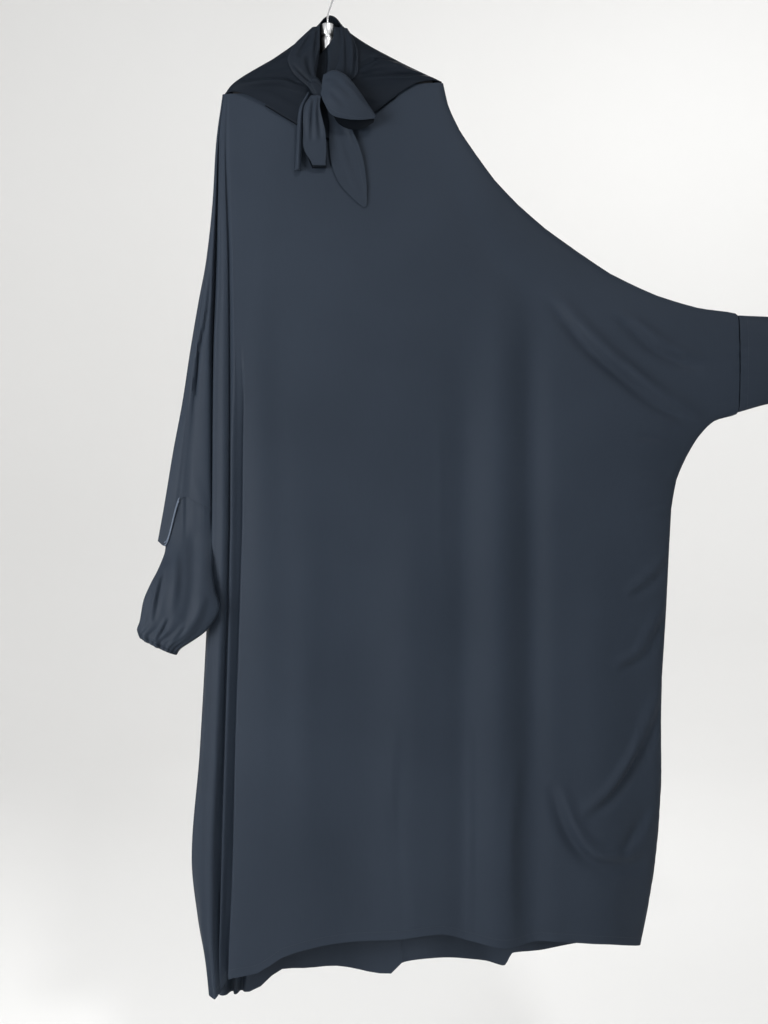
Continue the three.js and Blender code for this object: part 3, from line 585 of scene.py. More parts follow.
def foldColumn(column, drop, panel):
    gap = readAt(foldPlaces, "gap", drop)

    def at(i):
        return gap if i < 0 else gap + (readAt(foldPlaces, foldNames[i], drop) - gap) * panel["spread"]

    i, right = divmod(column - gapColumn - 1, 2)
    come = soft(between(*foldStarts.get(foldNames[i], (230, 760)), drop))
    if "pleats" in panel:
        offset, share = panel["pleats"][2 * i + right]
        x = at(i) + blend(1.2 if right else -1.2, offset, come)
    else:
        last = i == len(foldNames) - 1
        neighbour = (at(i) + 20 * panel["spread"] if last else at(i + 1)) if right else at(i - 1)
        x, share = blend(at(i), neighbour, 0.22), panel["shares"][foldNames[i]]
    edge = readAt(sleevePlaces, "edge", drop)
    plain = roundOff((x - edge) / readAt(edgeRound, "width", drop))
    return x, blend(np.maximum(plain, 0.2), share, come)


# a panel over columns u and rows v, both counted as the pattern's own grid lines
def panelSurface(panel, u, v):
    fold, edge, edgeX = (readAt(panelRows, name, v) for name in ("fold", "edge", "edgeX"))
    top, underarm = panelRows["fold"][0], panelRows["fold"][sleeveEndRow]
    hemBlend = soft(between(*hemReach, fold))

    def level(x, share, f=fold, e=edge, h=hemBlend):
        last = blend(panelRows["fold"][-1], panelRows["edge"][-1], share)
        return blend(f, e, share) + (readAt(panel["hem"], "drop", x) - last) * h

    control = []
    gap = readAt(foldPlaces, "gap", fold)
    share = np.minimum(1, (fold - top) / (underarm - top))
    for name, lift in (("edge", 0), ("outer", 7), ("crease", 9.5), ("inner", panel["innerLift"])):
        drop = fold + panel["mouth"][name] * share
        outer, crease, inner = (readAt(sleevePlaces, key, drop) for key in ("edge", "crease", "inner"))
        x = {"edge": outer, "outer": blend(outer, crease, 0.42), "crease": crease,
             "inner": blend(inner, gap, panel["innerShare"])}[name]
        control.append(np.stack([x, drop, seamDepth + lift * blend(0.35, 1, between(300, 700, drop))], -1))
    closing = between(underarm, underarm - gapReach["close"], fold)
    apart = soft(between(gapReach["start"], gapReach["full"], fold)) * soft(closing)
    gapDrop = np.where(v <= sleeveEndRow, fold, level(gap, 0))
    control.append(np.stack([gap, gapDrop, seamDepth + panel["gapLift"] * apart], -1))
    for column in range(gapColumn + 1, firstSmooth + 1):
        x, keepShare = foldColumn(column, fold, panel)
        drop = level(x, 0)
        depth = seamDepth + (readAt(panel["depth"], "depth", drop) - seamDepth) * keepShare
        control.append(np.stack([x, drop, depth], -1))
    control = np.array(control)
    below = v > sleeveEndRow + 1e-6
    control[3][below] = 2 * control[4][below] - control[5][below]
    folds = u[u <= firstSmooth]
    left = np.moveaxis(curveThrough(control, folds / firstSmooth), 0, 1)
    crease = creaseField(left[..., 0], left[..., 1], panel["creases"])
    inSleeve = (folds < gapColumn)[None, :]
    sleeveRound = roundOff((left[..., 0] - readAt(sleevePlaces, "edge", left[..., 1])) / 16)
    foldRound = soft(clamp01((folds - gapColumn) / 8.0))[None, :]
    left[..., 2] += crease * np.where(inSleeve, sleeveRound, foldRound)

    smooth = u[u > firstSmooth]
    startX, startShare = foldColumn(firstSmooth, fold, panel)
    c = centreBack
    seamX = blend(c["topX"], c["bottomX"], between(c["top"], c["bottom"], fold))
    f, e, h, s = fold[:, None], edge[:, None], hemBlend[:, None], smooth[None, :]
    across = (s - firstSmooth) / (lastColumn - firstSmooth)
    x = np.where(s <= seamColumn,
                 blend(startX[:, None], seamX[:, None], (s - firstSmooth) / (seamColumn - firstSmooth)),
                 blend(seamX[:, None], edgeX[:, None], (s - seamColumn) / (lastColumn - seamColumn)))
    drop = level(x, across, f, e, h)
    depth = panelDepth(x, drop, panel) * blend(startShare[:, None], 1, soft(clamp01(across * 5)))
    if panel["side"] > 0:
        depth = depth - c["pull"] * bell((x - seamX[:, None]) / c["wide"])  # the seam pulls in
    grid = np.concatenate([left, np.stack([x, drop, depth], -1)], axis=1)
    return place(grid[..., 0], grid[..., 1], panel["side"] * grid[..., 2])


def panelLines():
    spans = ((0, gapColumn, 28), (gapColumn, firstSmooth, 64), (firstSmooth, seamColumn, 14), (seamColumn, 31, 90))
    u = [np.linspace(start, end, count + 1)[:-1] for start, end, count in spans]
    u.append(lastColumn - (1 - evenly(8)) ** 2)  # closer and closer towards the outer edge
    v = [0.0]
    for row, (top, bottom) in enumerate(zip(panelRows["fold"][:-1], panelRows["fold"][1:])):
        fine = panelGrid["fineFrom"] < top < panelGrid["fineTo"]
        steps = round((bottom - top) / panelGrid["finePitch" if fine else "pitch"])
        steps = max(panelGrid["leastSteps"], steps)
        v += [row + (i + 1) / steps for i in range(steps)]
    return np.concatenate(u), np.array(v)


panelU, panelV = panelLines()


def inPanel(u, v):
    middleU, middleV = (u[:-1] + u[1:]) / 2, (v[:-1] + v[1:]) / 2
    return (middleU[None, :] > gapColumn) | (middleV[:, None] < sleeveEndRow)


# the hem is turned up by this much and sewn
hemTurn = 0.17


def hemLine(panel, uFrom, uTo):
    v = lastRow - hemTurn + np.array([-0.02, 0, 0.02])
    grid = panelSurface(panel, np.linspace(uFrom, uTo, 260), v)
    return liftedLine(grid, gridNormals(grid), row=1, side=panel["side"])


# each panel's node, its first and last column, and its cut width, length and area in metres
panelPieces = {
    "frontPanel": ("front_panel", frontPanel, 0, lastColumn, 1.30, 1.60, 1.36),
    "backPanelRight": ("back_panel_right", backPanel, 0, seamColumn, 0.50, 1.62, 0.56),
    "backPanelLeft": ("back_panel_left", backPanel, seamColumn, lastColumn, 0.66, 1.60, 0.80),
}


def buildPanels():
    for name, (node, panel, low, high, width, length, area) in panelPieces.items():
        u = panelU[(panelU >= low - 1e-6) & (panelU <= high + 1e-6)]
        grid, keep = panelSurface(panel, u, panelV), inPanel(u, panelV)
        if panel is backPanel:
            grid, keep = grid[:, ::-1], keep[:, ::-1]
        made = settle(clothPiece(name, grid, bodyCrepe, keep=keep), node)
    print("stage: panels made")


def sewHems():
    hems = [hemLine(frontPanel, 5, 31.9), hemLine(backPanel, 5, 21.8), hemLine(backPanel, 22.2, 31.9)]
    stitchPiece("hemStitches", hems, length=2.8, pitch=4.0, width=0.55)
    print("stage: hems sewn")


# the lower sleeves with their elastic wrists

spreadSleeve = {
    "sections": places("x top bottom half gather", [
        721.2, 601, 769, 11.5, 0,  772, 603, 755, 14, 0,  830, 610, 745, 17, 0,  890, 621, 736, 20, 0.6,
        930, 633, 730, 21, 1.6,  948, 641, 725, 20, 2.6,  956, 643, 723, 19, 3,  966, 641, 725, 20, 3,
        976, 638, 728, 21, 3.4]),
    "rows": 64, "columns": 168, "gathers": 23, "elastic": 956,
    "node": "lower_sleeve_left", "area": 0.080, "sewnRows": (2, 50, 55, 62),
}
hangingSleeve = {
    "sections": places("level leftX leftDrop rightX rightDrop y half gather", [
        0, -279, 1009, -197, 958, -2, 9.3, 0,  1, -281, 1018, -195.5, 985, -8, 11, 0,
        2, -289, 1044, -196, 1036, -25, 11, 0,  3, -301, 1070, -190, 1076, -33, 13, 0,
        4, -312, 1098, -181.5, 1108, -35, 15, 0.6,  5, -318, 1132, -203, 1146, -35, 16, 1.2,
        6, -322, 1146, -250, 1180, -34, 17, 2.6,  7, -317, 1160, -256, 1189, -34, 19, 3]),
    "rows": 72, "columns": 168, "gathers": 21, "tuck": 9,
    "node": "lower_sleeve_right", "area": 0.064, "sewnRows": (61, 65, 70),
    "creases": [
        [4.5, 5.0, 0.8, -283, 1045, -291, 1090, -298, 1132], [3.5, 3.8, 0.9, -270, 1124, -281, 1146, -294, 1167],
        [12, -5.0, 0.3, -232, 930, -229, 1010, -228, 1080, -238, 1130],
        [7, 3.2, 0.5, -258, 1010, -256, 1070, -262, 1120], [8, 3.4, 0.6, -205, 1085, -222, 1130, -248, 1160],
        [4, 2.0, 0.5, -300, 1100, -306, 1125, -312, 1142], [4, 2.2, 0.6, -240, 1135, -256, 1158, -268, 1176]],
}


# the seam above the hanging cuff, its thread lightened as a painted highlight: its first and last column, and how far
# its rows lie from the mouth
cuffSeam = {"from": 0.92, "to": 1.82, "rows": [0.24, 0.17, 0.1, 0.03], "lift": 1.3,
            "length": 3.8, "pitch": 2.9, "width": 2.8}


# gathers of an elastic: fine and uneven at the wrist, wider and lower away from it
def gatherWave(angle, strength, count):
    broad = np.sin(angle * 9 + 0.6 * np.sin(angle * 3 + 1))
    drift = 0.9 * np.sin(angle * 4 + 2) + 0.6 * np.sin(angle * 7 + 0.4)
    fine = np.sin(angle * count + drift) * (0.75 + 0.25 * np.sin(angle * 5))
    near = between(0.8, 3.0, strength)
    return strength * (broad * blend(1, 0.5, near) + fine * 0.62 * near)


def squareRound(angle):
    return np.sign(np.sin(angle)) * np.abs(np.sin(angle)) ** 0.8


def spreadGrid():
    s = spreadSleeve
    x = blend(s["sections"]["x"][0], s["sections"]["x"][-1], evenly(s["rows"]) ** 0.85)[:, None]
    angle = aroundTurn(s["columns"])[None, :]
    top, bottom, half, strength = (readAt(s["sections"], key, x) for key in ("top", "bottom", "half", "gather"))
    wave = gatherWave(angle, strength, s["gathers"]) - 1.6 * bell((x - s["elastic"]) / 3.2)
    wave = wave + 0.5 * np.sin(angle * 19 + np.sin(angle * 5)) * bell((x - 723) / 9)  # the cuff seam's pucker
    wave = wave + 1.6 * np.sin(angle * 5 + 0.8) * soft(between(760, 900, x)) * soft(between(960, 900, x))
    reach = (bottom - top) / 2 + wave
    return place(x, (top + bottom) / 2 - reach * np.cos(angle), -(half + wave) * squareRound(angle))


# the hanging sleeve's mouth on one panel: places across, drops and depths
def sleeveEnd(panel):
    grid = panelSurface(panel, np.linspace(0, gapColumn, 33), np.array([float(sleeveEndRow)]))[0]
    x = np.maximum.accumulate(grid[:, 0] * 1000 + np.arange(33) * 1e-4)
    return x, -grid[:, 2] * 1000, grid[:, 1] * 1000


def hangingGrid():
    s = hangingSleeve
    angle = aroundTurn(s["columns"])[None, :]
    stage = evenly(s["rows"])[:, None] * s["sections"]["level"][-1]
    section = {key: readAt(s["sections"], key, stage) for key in s["sections"] if key != "level"}
    share = (1 + np.cos(angle)) / 2
    x = blend(section["leftX"], section["rightX"], share)
    straight = blend(section["leftDrop"], section["rightDrop"], share)
    seam, level = np.zeros(x.shape), np.zeros(x.shape)
    for panel, mask in ((frontPanel, np.sin(angle) > 0), (backPanel, np.sin(angle) <= 0)):
        endX, endDrop, endY = sleeveEnd(panel)
        level = np.where(mask, np.interp(x, endX, endY), level)
        slope = (np.interp(x + 1, endX, endDrop) - np.interp(x - 1, endX, endDrop)) / 2
        tuck = blend(3, s["tuck"], soft(between(0.45, 0.75, share)))
        seam = np.where(mask, np.interp(x, endX, endDrop) - tuck * np.hypot(1, slope), seam)
    drop = blend(straight, straight + seam - blend(1009, 958, share), clamp01(1 - stage / 1.6) ** 1.5)
    wave = gatherWave(angle, section["gather"], s["gathers"]) - 1.5 * bell((stage - 6.3) / 0.22)
    front = clamp01(np.sin(angle) * 1.6)
    wave = wave + creaseField(x, drop, s["creases"]) * front * soft(between(0.4, 1.4, stage))
    depth = (section["half"] + wave) * squareRound(angle)
    # tucked into the upper sleeve: under its edge on the outer side, coming out level on the inner side
    levelOut = soft(between(0.4, 0.62, share)) * np.where(np.sin(angle) > 0, 1, 0)
    inside = blend(1.5, blend(1.7, -1.5, between(0, 0.22, stage)), levelOut)
    tucked = level - np.sign(level) * np.minimum(inside, np.abs(level))
    away = (x - blend(section["leftX"], section["rightX"], 0.5)) / 60
    x = x + wave * 0.5 * away * between(4.5, 6.5, stage)
    return place(x, drop, blend(section["y"] - depth, tucked, soft(clamp01(1.1 - stage / 1.3))))


def buildSleeves():
    rings = []
    for name, sleeve, grid in (("lowerSleeveLeft", spreadSleeve, spreadGrid()),
                               ("lowerSleeveRight", hangingSleeve, hangingGrid())):
        made = settle(clothPiece(name, grid, sleeveCrepe, closed=True, sharp=85), sleeve["node"])
        normals = gridNormals(grid, closed=True)
        outward = np.sign((normals[20] * (grid[20] - grid[20].mean(axis=0))).sum())
        for row in sleeve["sewnRows"]:
            line = liftedLine(grid, normals, row=row, side=outward)
            rings.append(np.concatenate([line, line[:1]]))
    stitchPiece("sleeveStitches", rings, length=2.2, pitch=3.2, width=0.5)
    # the seam shows on the outer half of the front, sewn twice; its thread is lighter as a painted highlight where
    # light catches the seam's edge
    c = cuffSeam
    end = panelSurface(frontPanel, np.linspace(c["from"], c["to"], 60), sleeveEndRow - np.array(c["rows"]))
    seam = [liftedLine(end, gridNormals(end), row=row, lift=c["lift"], side=-1) for row in (1, 3)]
    made = stitchPiece("cuffSeamStitches", seam, c["length"], c["pitch"], c["width"])
    made.data.materials.clear()
    made.data.materials.append(paintedHighlightThread)
    print("stage: sleeves made")


# the hood

hoodStations = places("rimX rimDrop rimY crestX crestDrop crestY edgeX edgeDrop edgeY", [
    -15.7, 222, -15, -0.4, 258, -16, 15.3, 297, -15,  -16.5, 205, -15.5, -42, 232, -16, -25, 282, -14.5,
    -17.3, 188, -16, -62, 208, -15.5, -65, 259, -14,  -14, 165, -16, -85, 193, -15, -105, 235, -13.5,
    -10.5, 141, -15, -112, 183, -13.5, -142, 217, -13,  -10.4, 127, -13.5, -140, 187, -11, -165, 212.4, -9.6,
    -10.4, 116, -12, -160, 195, -5, -179, 216.5, -1,  -10.4, 108, -10, -135, 181, 2, -165, 220, 9.5,
    -10.4, 98, -8, -98, 160, 6, -135, 240, 14,  -9, 90, -5, -52, 130, 9, -85, 288, 17,
    -3, 79, 1, -20, 106, 12, -35, 312, 19,  6.3, 71.4, 8, 6.3, 102, 16, 13, 318, 20,
    16, 78, 2, 31, 106, 12, 62, 311, 19,  24, 91, -4, 66, 132, 9, 112, 284, 17,
    27, 103, -8, 116, 157, 6, 160, 232, 14,  27, 114, -10, 160, 174, 2, 187, 197, 10,
    26.5, 124, -12, 183, 185, -5, 202, 193.2, -1.5,  26, 136, -13.5, 165, 181, -11, 188, 192.6, -9.6,
    23, 152, -14.5, 135, 177, -13.5, 160, 197.5, -13,  17, 172, -15.5, 105, 188, -15, 122, 219, -13.5,
    8, 190, -16, 78, 205, -15.5, 88, 245, -14,  -4, 207, -15.5, 48, 228, -16, 50, 272, -14.5,
    -15.3, 222, -15, 0.4, 258, -16, 15.7, 297, -15])
hood = {
    "perStation": 10, "rows": 44, "onPanel": 1.8,
    # the turned lower edge: how far each row hangs below, and its share of the way to the panel
    "turned": [(1.4, 0.1), (3.2, 0.45), (3.0, 0.8), (0.4, 1)],
    "creases": [
        [3.4, 6.4, -1.25, -176, 208, -132, 204, -97, 201, -73, 202, -52, 210, -29, 215],
        [7, 1.8, 0.5, -120, 214, -92, 222, -64, 238, -40, 252],
        [3.4, 5.0, 1.1, 56, 180, 76, 168, 98, 160, 132, 164], [3.6, 5.4, 1.1, 60, 192, 111, 189, 193, 188],
        [3.2, -3.0, 0.3, 58, 187, 88, 178, 126, 177], [6, -1.8, 0.3, 70, 205, 104, 205, 150, 199],
        [6, 1.8, 0.5, 48, 215, 74, 226, 96, 230], [5, 1.6, 0.5, -40, 175, -72, 180, -112, 186]],
    "backCreases": [
        [8, 2.4, 0.5, 5, 100, -30, 180, -60, 270], [7, 2.2, 0.5, 8, 100, 12, 200, 14, 300],
        [8, 2.4, 0.5, 12, 100, 52, 170, 92, 270], [7, 1.8, 0.4, -40, 140, -90, 190, -120, 215],
        [7, 1.8, 0.4, 60, 140, 110, 180, 150, 205]],
}


def bodyTop(x):
    return blend(panelRows["fold"][0], panelRows["edge"][0], between(-181, panelRows["edgeX"][0], x))


def buildHood():
    h = hood
    count = (len(hoodStations["rimX"]) - 1) * h["perStation"]
    lines = [curveThrough(lineOf(hoodStations, part), evenly(count)) for part in ("rim", "crest", "edge")]
    body = curveThrough(np.array(lines), evenly(h["rows"]))
    edgeX, drop, edgeY = lines[2].T
    isFront = edgeY < 0

    def onBody(drop):
        front, back = (panelDepth(edgeX, drop, panel, False) + h["onPanel"] for panel in (frontPanel, backPanel))
        return np.where(isFront, -front, back)

    turned = [np.stack([edgeX, drop + lower, blend(edgeY, onBody(drop), share)], 1) for lower, share in h["turned"]]
    for step in (0.33, 0.66, 1.0):
        turned.append(np.stack([edgeX, blend(drop, bodyTop(edgeX), step), onBody(drop)], 1))
    # soft creases stand off the front, others off the back, and fade towards the lower edge
    fade = np.sin(math.pi * evenly(h["rows"]) ** 0.8)[:, None] ** 0.5
    x, bodyDrop, y = np.moveaxis(body, 2, 0)
    frontShare, backShare = soft(between(-3, -11, y)), soft(between(3, 10, y))
    y -= creaseField(x, bodyDrop, h["creases"]) * frontShare * fade
    y += creaseField(x, bodyDrop, h["backCreases"]) * backShare * fade
    world = place(*np.moveaxis(np.concatenate([body, np.array(turned)]), 2, 0))
    # only the front and the back have a flap below the edge, turned in to the panels
    keep = np.ones((len(world) - 1, count), bool)
    station = np.arange(count) // h["perStation"]
    keep[h["rows"]:] = (station < 3) | (station >= len(hoodStations["rimX"]) - 4) | ((station >= 9) & (station < 13))
    # painted shade: the hood takes its darkened crepe, and the turned lip under its front edge takes the dark one, as
    # a dark line below the edge
    made = clothPiece("hoodCloth", world, hoodPaintedShadeCrepe, keep=keep, sharp=80)
    lowest = world[h["rows"] + 1][isFront]
    lowest = lowest[np.argsort(lowest[:, 0])]
    shadeFaces(made, lambda at: at.y < 0 and -at.z > np.interp(at.x, lowest[:, 0], -lowest[:, 2]) - 0.0001)
    settle(made, "hood")
    normals = gridNormals(world)
    side = np.sign(normals[15, :, 1]) * np.where(isFront, -1, 1)
    rim = liftedLine(world, normals, row=1, side=side[:, None])
    stitchPiece("hoodStitches", [rim[2:-2]], length=2.4, pitch=3.4, width=0.5)
    print("stage: hood made")


# the ties

ribbonColumns = "leftX leftDrop leftY rightX rightDrop rightY"
# painted shade: the bands take a darkened copy of the crepe
bandRight = {
    "node": "hood_band_right", "crepe": bandPaintedShadeCrepe, "sewn": [1],
    "rows": 56, "columns": 18, "bulge": 5, "flat": (0.045, 0.13), "area": 0.0047,
    "line": places(ribbonColumns, [
        -23, 102, -14.2, -10.5, 101, -14.4,  -37, 116, -16.4, -10.8, 118, -16.6,  -56, 136, -17.6, -11, 138, -17.8,
        -66, 159, -18, -17, 160, -18.2,  -56, 183, -18.3, -20, 179, -18.3,  -35, 203, -18.4, -16, 192, -18.4,
        -23, 216, -18.6, -10, 208, -18.6]),
    "creases": [
        [3, -4.4, -0.6, -24, 112, -36, 134, -49, 156], [2.8, -3.6, -0.8, -33, 154, -31, 172, -24, 190],
        [2.8, 3.2, 1.0, -18, 106, -22, 140, -21, 184], [3, 3.0, 0.9, -60, 172, -44, 190, -26, 206]],
}
bandLeft = {
    "node": "hood_band_left", "crepe": bandPaintedShadeCrepe, "sewn": [36],
    "rows": 56, "columns": 18, "bulge": 5, "flat": (0.085, 0.12), "area": 0.0066,
    # painted shade: the recessed inner part of the leaf takes the dark crepe
    "inShade": lambda at: at.x < 0.003 and at.y > -0.0135,
    "line": places(ribbonColumns, [
        26, 101, -12.6, 37, 103, -12,  28, 118, -15.4, 46, 120, -14.6,  28, 140, -17.2, 55, 141, -16.4,
        24, 162, -18, 56, 164, -17.6,  14, 184, -18.3, 54, 186, -18.2,  0, 202, -18.4, 24, 207, -18.6]),
    "creases": [
        [2.6, -4.6, -1.0, 32, 102, 34, 130, 35, 160, 34, 200], [2.8, 3.0, 1.1, 45, 112, 47, 150, 45, 194],
        [3, -1.8, -0.4, 24, 140, 20, 170, 10, 194]],
    # the leaf turned in behind the opening, from its hidden edge to the band
    "leaf": places("drop inX inDrop inY foldX foldY lipX lipY", [
        101, 13.6, 101, -10, 14, -11, 16, -12.4,  118, 12, 121, -10.6, 13, -12, 15, -13.8,
        140, -15, 152, -8.4, 1, -9.5, 6, -14.5,  162, -26, 166, -8, 1.5, -9, 6, -15.8,
        184, -27, 187, -9, -1, -10, 3, -16,  202, -20, 201, -13, -9, -13.5, -6, -16.4]),
}
loopRight = {
    "node": "bow_loop_right", "crepe": tieCrepe, "sewn": [1, 13],
    "rows": 84, "columns": 14, "bulge": 0, "flat": (0.050, 0.25), "area": 0.0083,
    # painted shade: the back layer below the loop's bottom takes the dark crepe, as a dark crescent
    "inShade": lambda at: at.y > -0.0228 and at.z < -0.27, "creasedTo": 0.46,
    "line": places(ribbonColumns, [
        -25, 227.2, -31, -8, 227.4, -31,  -36, 248, -35, -9, 250, -36,  -38, 290, -31, 0, 290, -32,
        -37, 318, -28, 1, 322, -28,  -24, 341, -24, 0, 342, -24,  -23, 348, -18, 1, 347, -18,
        -36, 312, -13.5, 0, 315, -13.5,  -36, 270, -18.8, -3, 272, -19,  -31, 246, -21, -9, 248, -21,
        -24, 228, -26.5, -11, 228, -26.5]),
    "creases": [
        [3, 3.4, 1.0, -14, 230, -17, 262, -14, 306], [3, 3.2, 1.0, -24, 232, -28, 262, -29, 305],
        [2.6, -2.4, 0.4, -6, 262, -7, 300]],
}
tailLeft = {
    "node": "tie_tail_left", "crepe": tieCrepe, "sewn": [1, 17],
    "rows": 72, "columns": 18, "bulge": -1, "flat": (0.062, 0.20), "area": 0.0082,
    # painted shadow: a second dark layer out along the tail's lower-left edge
    "inShade": lambda at: at.y > -0.0128, "paintedShadowLayer": {"out": 3.2, "behind": 4.5},
    "line": places(ribbonColumns, [
        0, 238, -19, 16, 236, -19,  6, 262, -18.6, 40, 258, -19,  7, 284, -18.3, 46, 282, -18.8,
        7, 309, -17.5, 54, 300, -17.5,  11, 340, -15.5, 63, 326, -16,  23, 370, -14.5, 68, 352, -15,
        43, 394, -14.5, 71, 380, -15,  66.5, 415, -15, 71, 413, -15]),
    "creases": [
        [4, 1.6, 0.6, 30, 262, 42, 285, 52, 312], [6, 1.0, 0.4, 18, 260, 24, 300, 40, 350, 58, 395]],
}


def ribbonGrid(tie):
    r, line = evenly(tie["rows"]), tie["line"]
    left, right = (curveThrough(lineOf(line, part), r) for part in ("left", "right"))
    c = evenly(tie["columns"])[None, :, None]
    grid = left[:, None] * (1 - c) + right[:, None] * c
    swell = np.sin(math.pi * c[..., 0])
    crease = creaseField(grid[..., 0], grid[..., 1], tie["creases"])
    grid[..., 2] -= tie["bulge"] * swell * np.sin(math.pi * r)[:, None]
    grid[..., 2] -= crease * (r < tie.get("creasedTo", 2))[:, None] * soft(clamp01(swell * 1.5))
    if "paintedShadowLayer" in tie:
        # a second layer, a little further out, in the dark crepe as a painted shadow along the tail's edge
        along = np.diff(left, axis=0)
        along = np.concatenate([along, along[-1:]])
        out = np.stack([-along[:, 1], along[:, 0]], 1) / np.maximum(np.hypot(along[:, 0], along[:, 1]), 1e-6)[:, None]
        back = left + [0, 0, tie["paintedShadowLayer"]["behind"]]
        back[:, :2] -= out * tie["paintedShadowLayer"]["out"]
        grid = np.concatenate([back[:, None], ((back + left) / 2)[:, None], grid], axis=1)
    if "leaf" in tie:
        leaf = tie["leaf"]
        fold, lip = (np.stack([leaf[part + "X"], leaf["drop"], leaf[part + "Y"]], 1) for part in ("fold", "lip"))
        lines = [lineOf(leaf, "in"), fold, lip, lineOf(line, "left") + [-2, 0, 3.2]]
        lines = np.array([curveThrough(p, r) for p in lines])
        grid = np.concatenate([np.moveaxis(curveThrough(lines, evenly(18)), 0, 1), grid], axis=1)
    return place(*np.moveaxis(grid, 2, 0))


# seams along a few columns of a tie, all but their ends
def seamLines(grid, columns, trim=2, at=(10, 5)):
    normals = gridNormals(grid)
    side = -np.sign(normals[at][1])
    rows = slice(trim, -trim)
    return [liftedLine(grid[rows], normals[rows], column=c, lift=0.95, side=side) for c in columns]


bowLoop = {
    "line": places("frontX frontDrop frontY turnX turnDrop turnY backX backDrop backY", [
        -8, 224, -32, -3, 192, -31, -4.6, 214, -26.5,  0, 246, -40, 14, 185, -33, 8, 246, -22.5,
        12, 265, -44, 34, 193, -35, 22, 272, -21.5,  34, 272, -45, 54, 216, -36, 40, 281, -21,
        60, 273, -42, 72, 242, -35, 62, 282, -21.5,  84, 269, -37, 87, 263, -33.5, 83, 272, -27]),
    "rows": 56, "columns": 40, "bulge": 4,
    "creases": [
        [5, 2.2, 0.6, 4, 214, 22, 222, 40, 240], [5, 2.0, 0.6, 2, 224, 14, 240, 30, 256],
        [4, 1.8, 0.5, 26, 204, 46, 222, 66, 248], [4, 1.6, 0.5, 0, 206, 12, 208, 26, 214]],
}


def bowLoopGrid():
    b = bowLoop
    r, c = evenly(b["rows"]), evenly(b["columns"])
    lines = np.array([curveThrough(lineOf(b["line"], part), r) for part in ("front", "turn", "back")])
    grid = np.moveaxis(curveThrough(lines, c), 0, 1)
    grid[..., 2] -= b["bulge"] * np.sin(math.pi * r)[:, None] * np.sin(math.tau * c)
    frontSide = soft(between(0.5, 0.36, c)) * soft(between(0.0, 0.08, c))
    grid[..., 2] -= creaseField(grid[..., 0], grid[..., 1], b["creases"]) * frontSide
    return place(*np.moveaxis(grid, 2, 0))


tailRight = {
    "line": places("drop x front half", [
        221, -29, -30, 2,  246, -40, -33, 3.6,  262, -43, -31, 4,  300, -45.5, -26, 4.2,  352, -48, -23, 4.4]),
    "rows": 48, "columns": 16, "deep": 9,
}


def tailRightGrid():
    t = tailRight
    drop = blend(t["line"]["drop"][0], t["line"]["drop"][-1], evenly(t["rows"]))[:, None]
    x, front, half = (readAt(t["line"], key, drop) for key in ("x", "front", "half"))
    across = evenly(t["columns"])[None, :] * 2 - 1
    side = np.sign(across) * np.minimum(1, np.abs(across) * 1.6)
    ripple = 0.5 * np.sin(drop / 11) * np.abs(across)
    return place(x + side * half + ripple, drop, front + t["deep"] * np.abs(across) ** 1.6)


knot = {"x": -15.5, "drop": 212, "y": -28.5, "wide": 12, "high": 19, "deep": 5.6, "tilt": 34}


# the knot: a wrapped band, pulled in along the lines where it crosses itself
def knotGrid():
    k = knot
    turn = aroundTurn(64)[None, :]
    rise = np.linspace(0.02, math.pi - 0.02, 41)[:, None]
    nx, ny, nz = np.sin(rise) * np.cos(turn), np.sin(rise) * np.sin(turn), np.cos(rise)
    size = 1 - 0.13 * bell((nx * 0.75 + nz * 0.66 - 0.32) / 0.12) - 0.10 * bell((nx * 0.9 - nz * 0.35 + 0.45) / 0.1)
    size = size - 0.06 * bell((nx * 0.5 + nz * 0.86 + 0.38) / 0.1) + 0.02 * np.sin(nz * 9 + nx * 5)
    size = np.minimum(size, 1.0)
    across, up = (np.sign(n) * np.abs(n) ** 0.72 * size * k[key] for n, key in ((nx, "wide"), (nz, "high")))
    tilt = math.radians(k["tilt"])
    across, up = across * math.cos(tilt) - up * math.sin(tilt), across * math.sin(tilt) + up * math.cos(tilt)
    return place(k["x"] + across, k["drop"] - up, k["y"] + ny * size * k["deep"])


def buildTies():
    lines = []
    for name, tie in (("hoodBandRight", bandRight), ("hoodBandLeft", bandLeft),
                      ("bowLoopRight", loopRight), ("tieTailLeft", tailLeft)):
        grid = ribbonGrid(tie)
        made = clothPiece(name, grid, tie["crepe"], thickness=1.5)
        if "inShade" in tie:
            shadeFaces(made, tie["inShade"])
        settle(made, tie["node"])
        lines += seamLines(grid, tie["sewn"])
    grid = bowLoopGrid()
    made = clothPiece("bowLoopLeft", grid, tieCrepe, thickness=1.5)
    # painted shade: the loop's back sheet, seen below its front edge, takes the dark crepe
    shadeFaces(made, lambda at: at.y > -0.0300)
    settle(made, "bow_loop_left")
    lines += seamLines(grid, [2, 18], trim=3, at=(20, 8))
    made = clothPiece("tieTailRight", tailRightGrid(), tieCrepe, thickness=1.3)
    settle(made, "tie_tail_right")
    # painted shade: the knot takes the bands' darkened crepe
    solidPiece("bowKnot", knotGrid(), bandPaintedShadeCrepe, "bow_knot", sharp=None)
    stitchPiece("tieStitches", lines, length=2.0, pitch=2.9, width=0.42)
    print("stage: ties made")


# the hanger

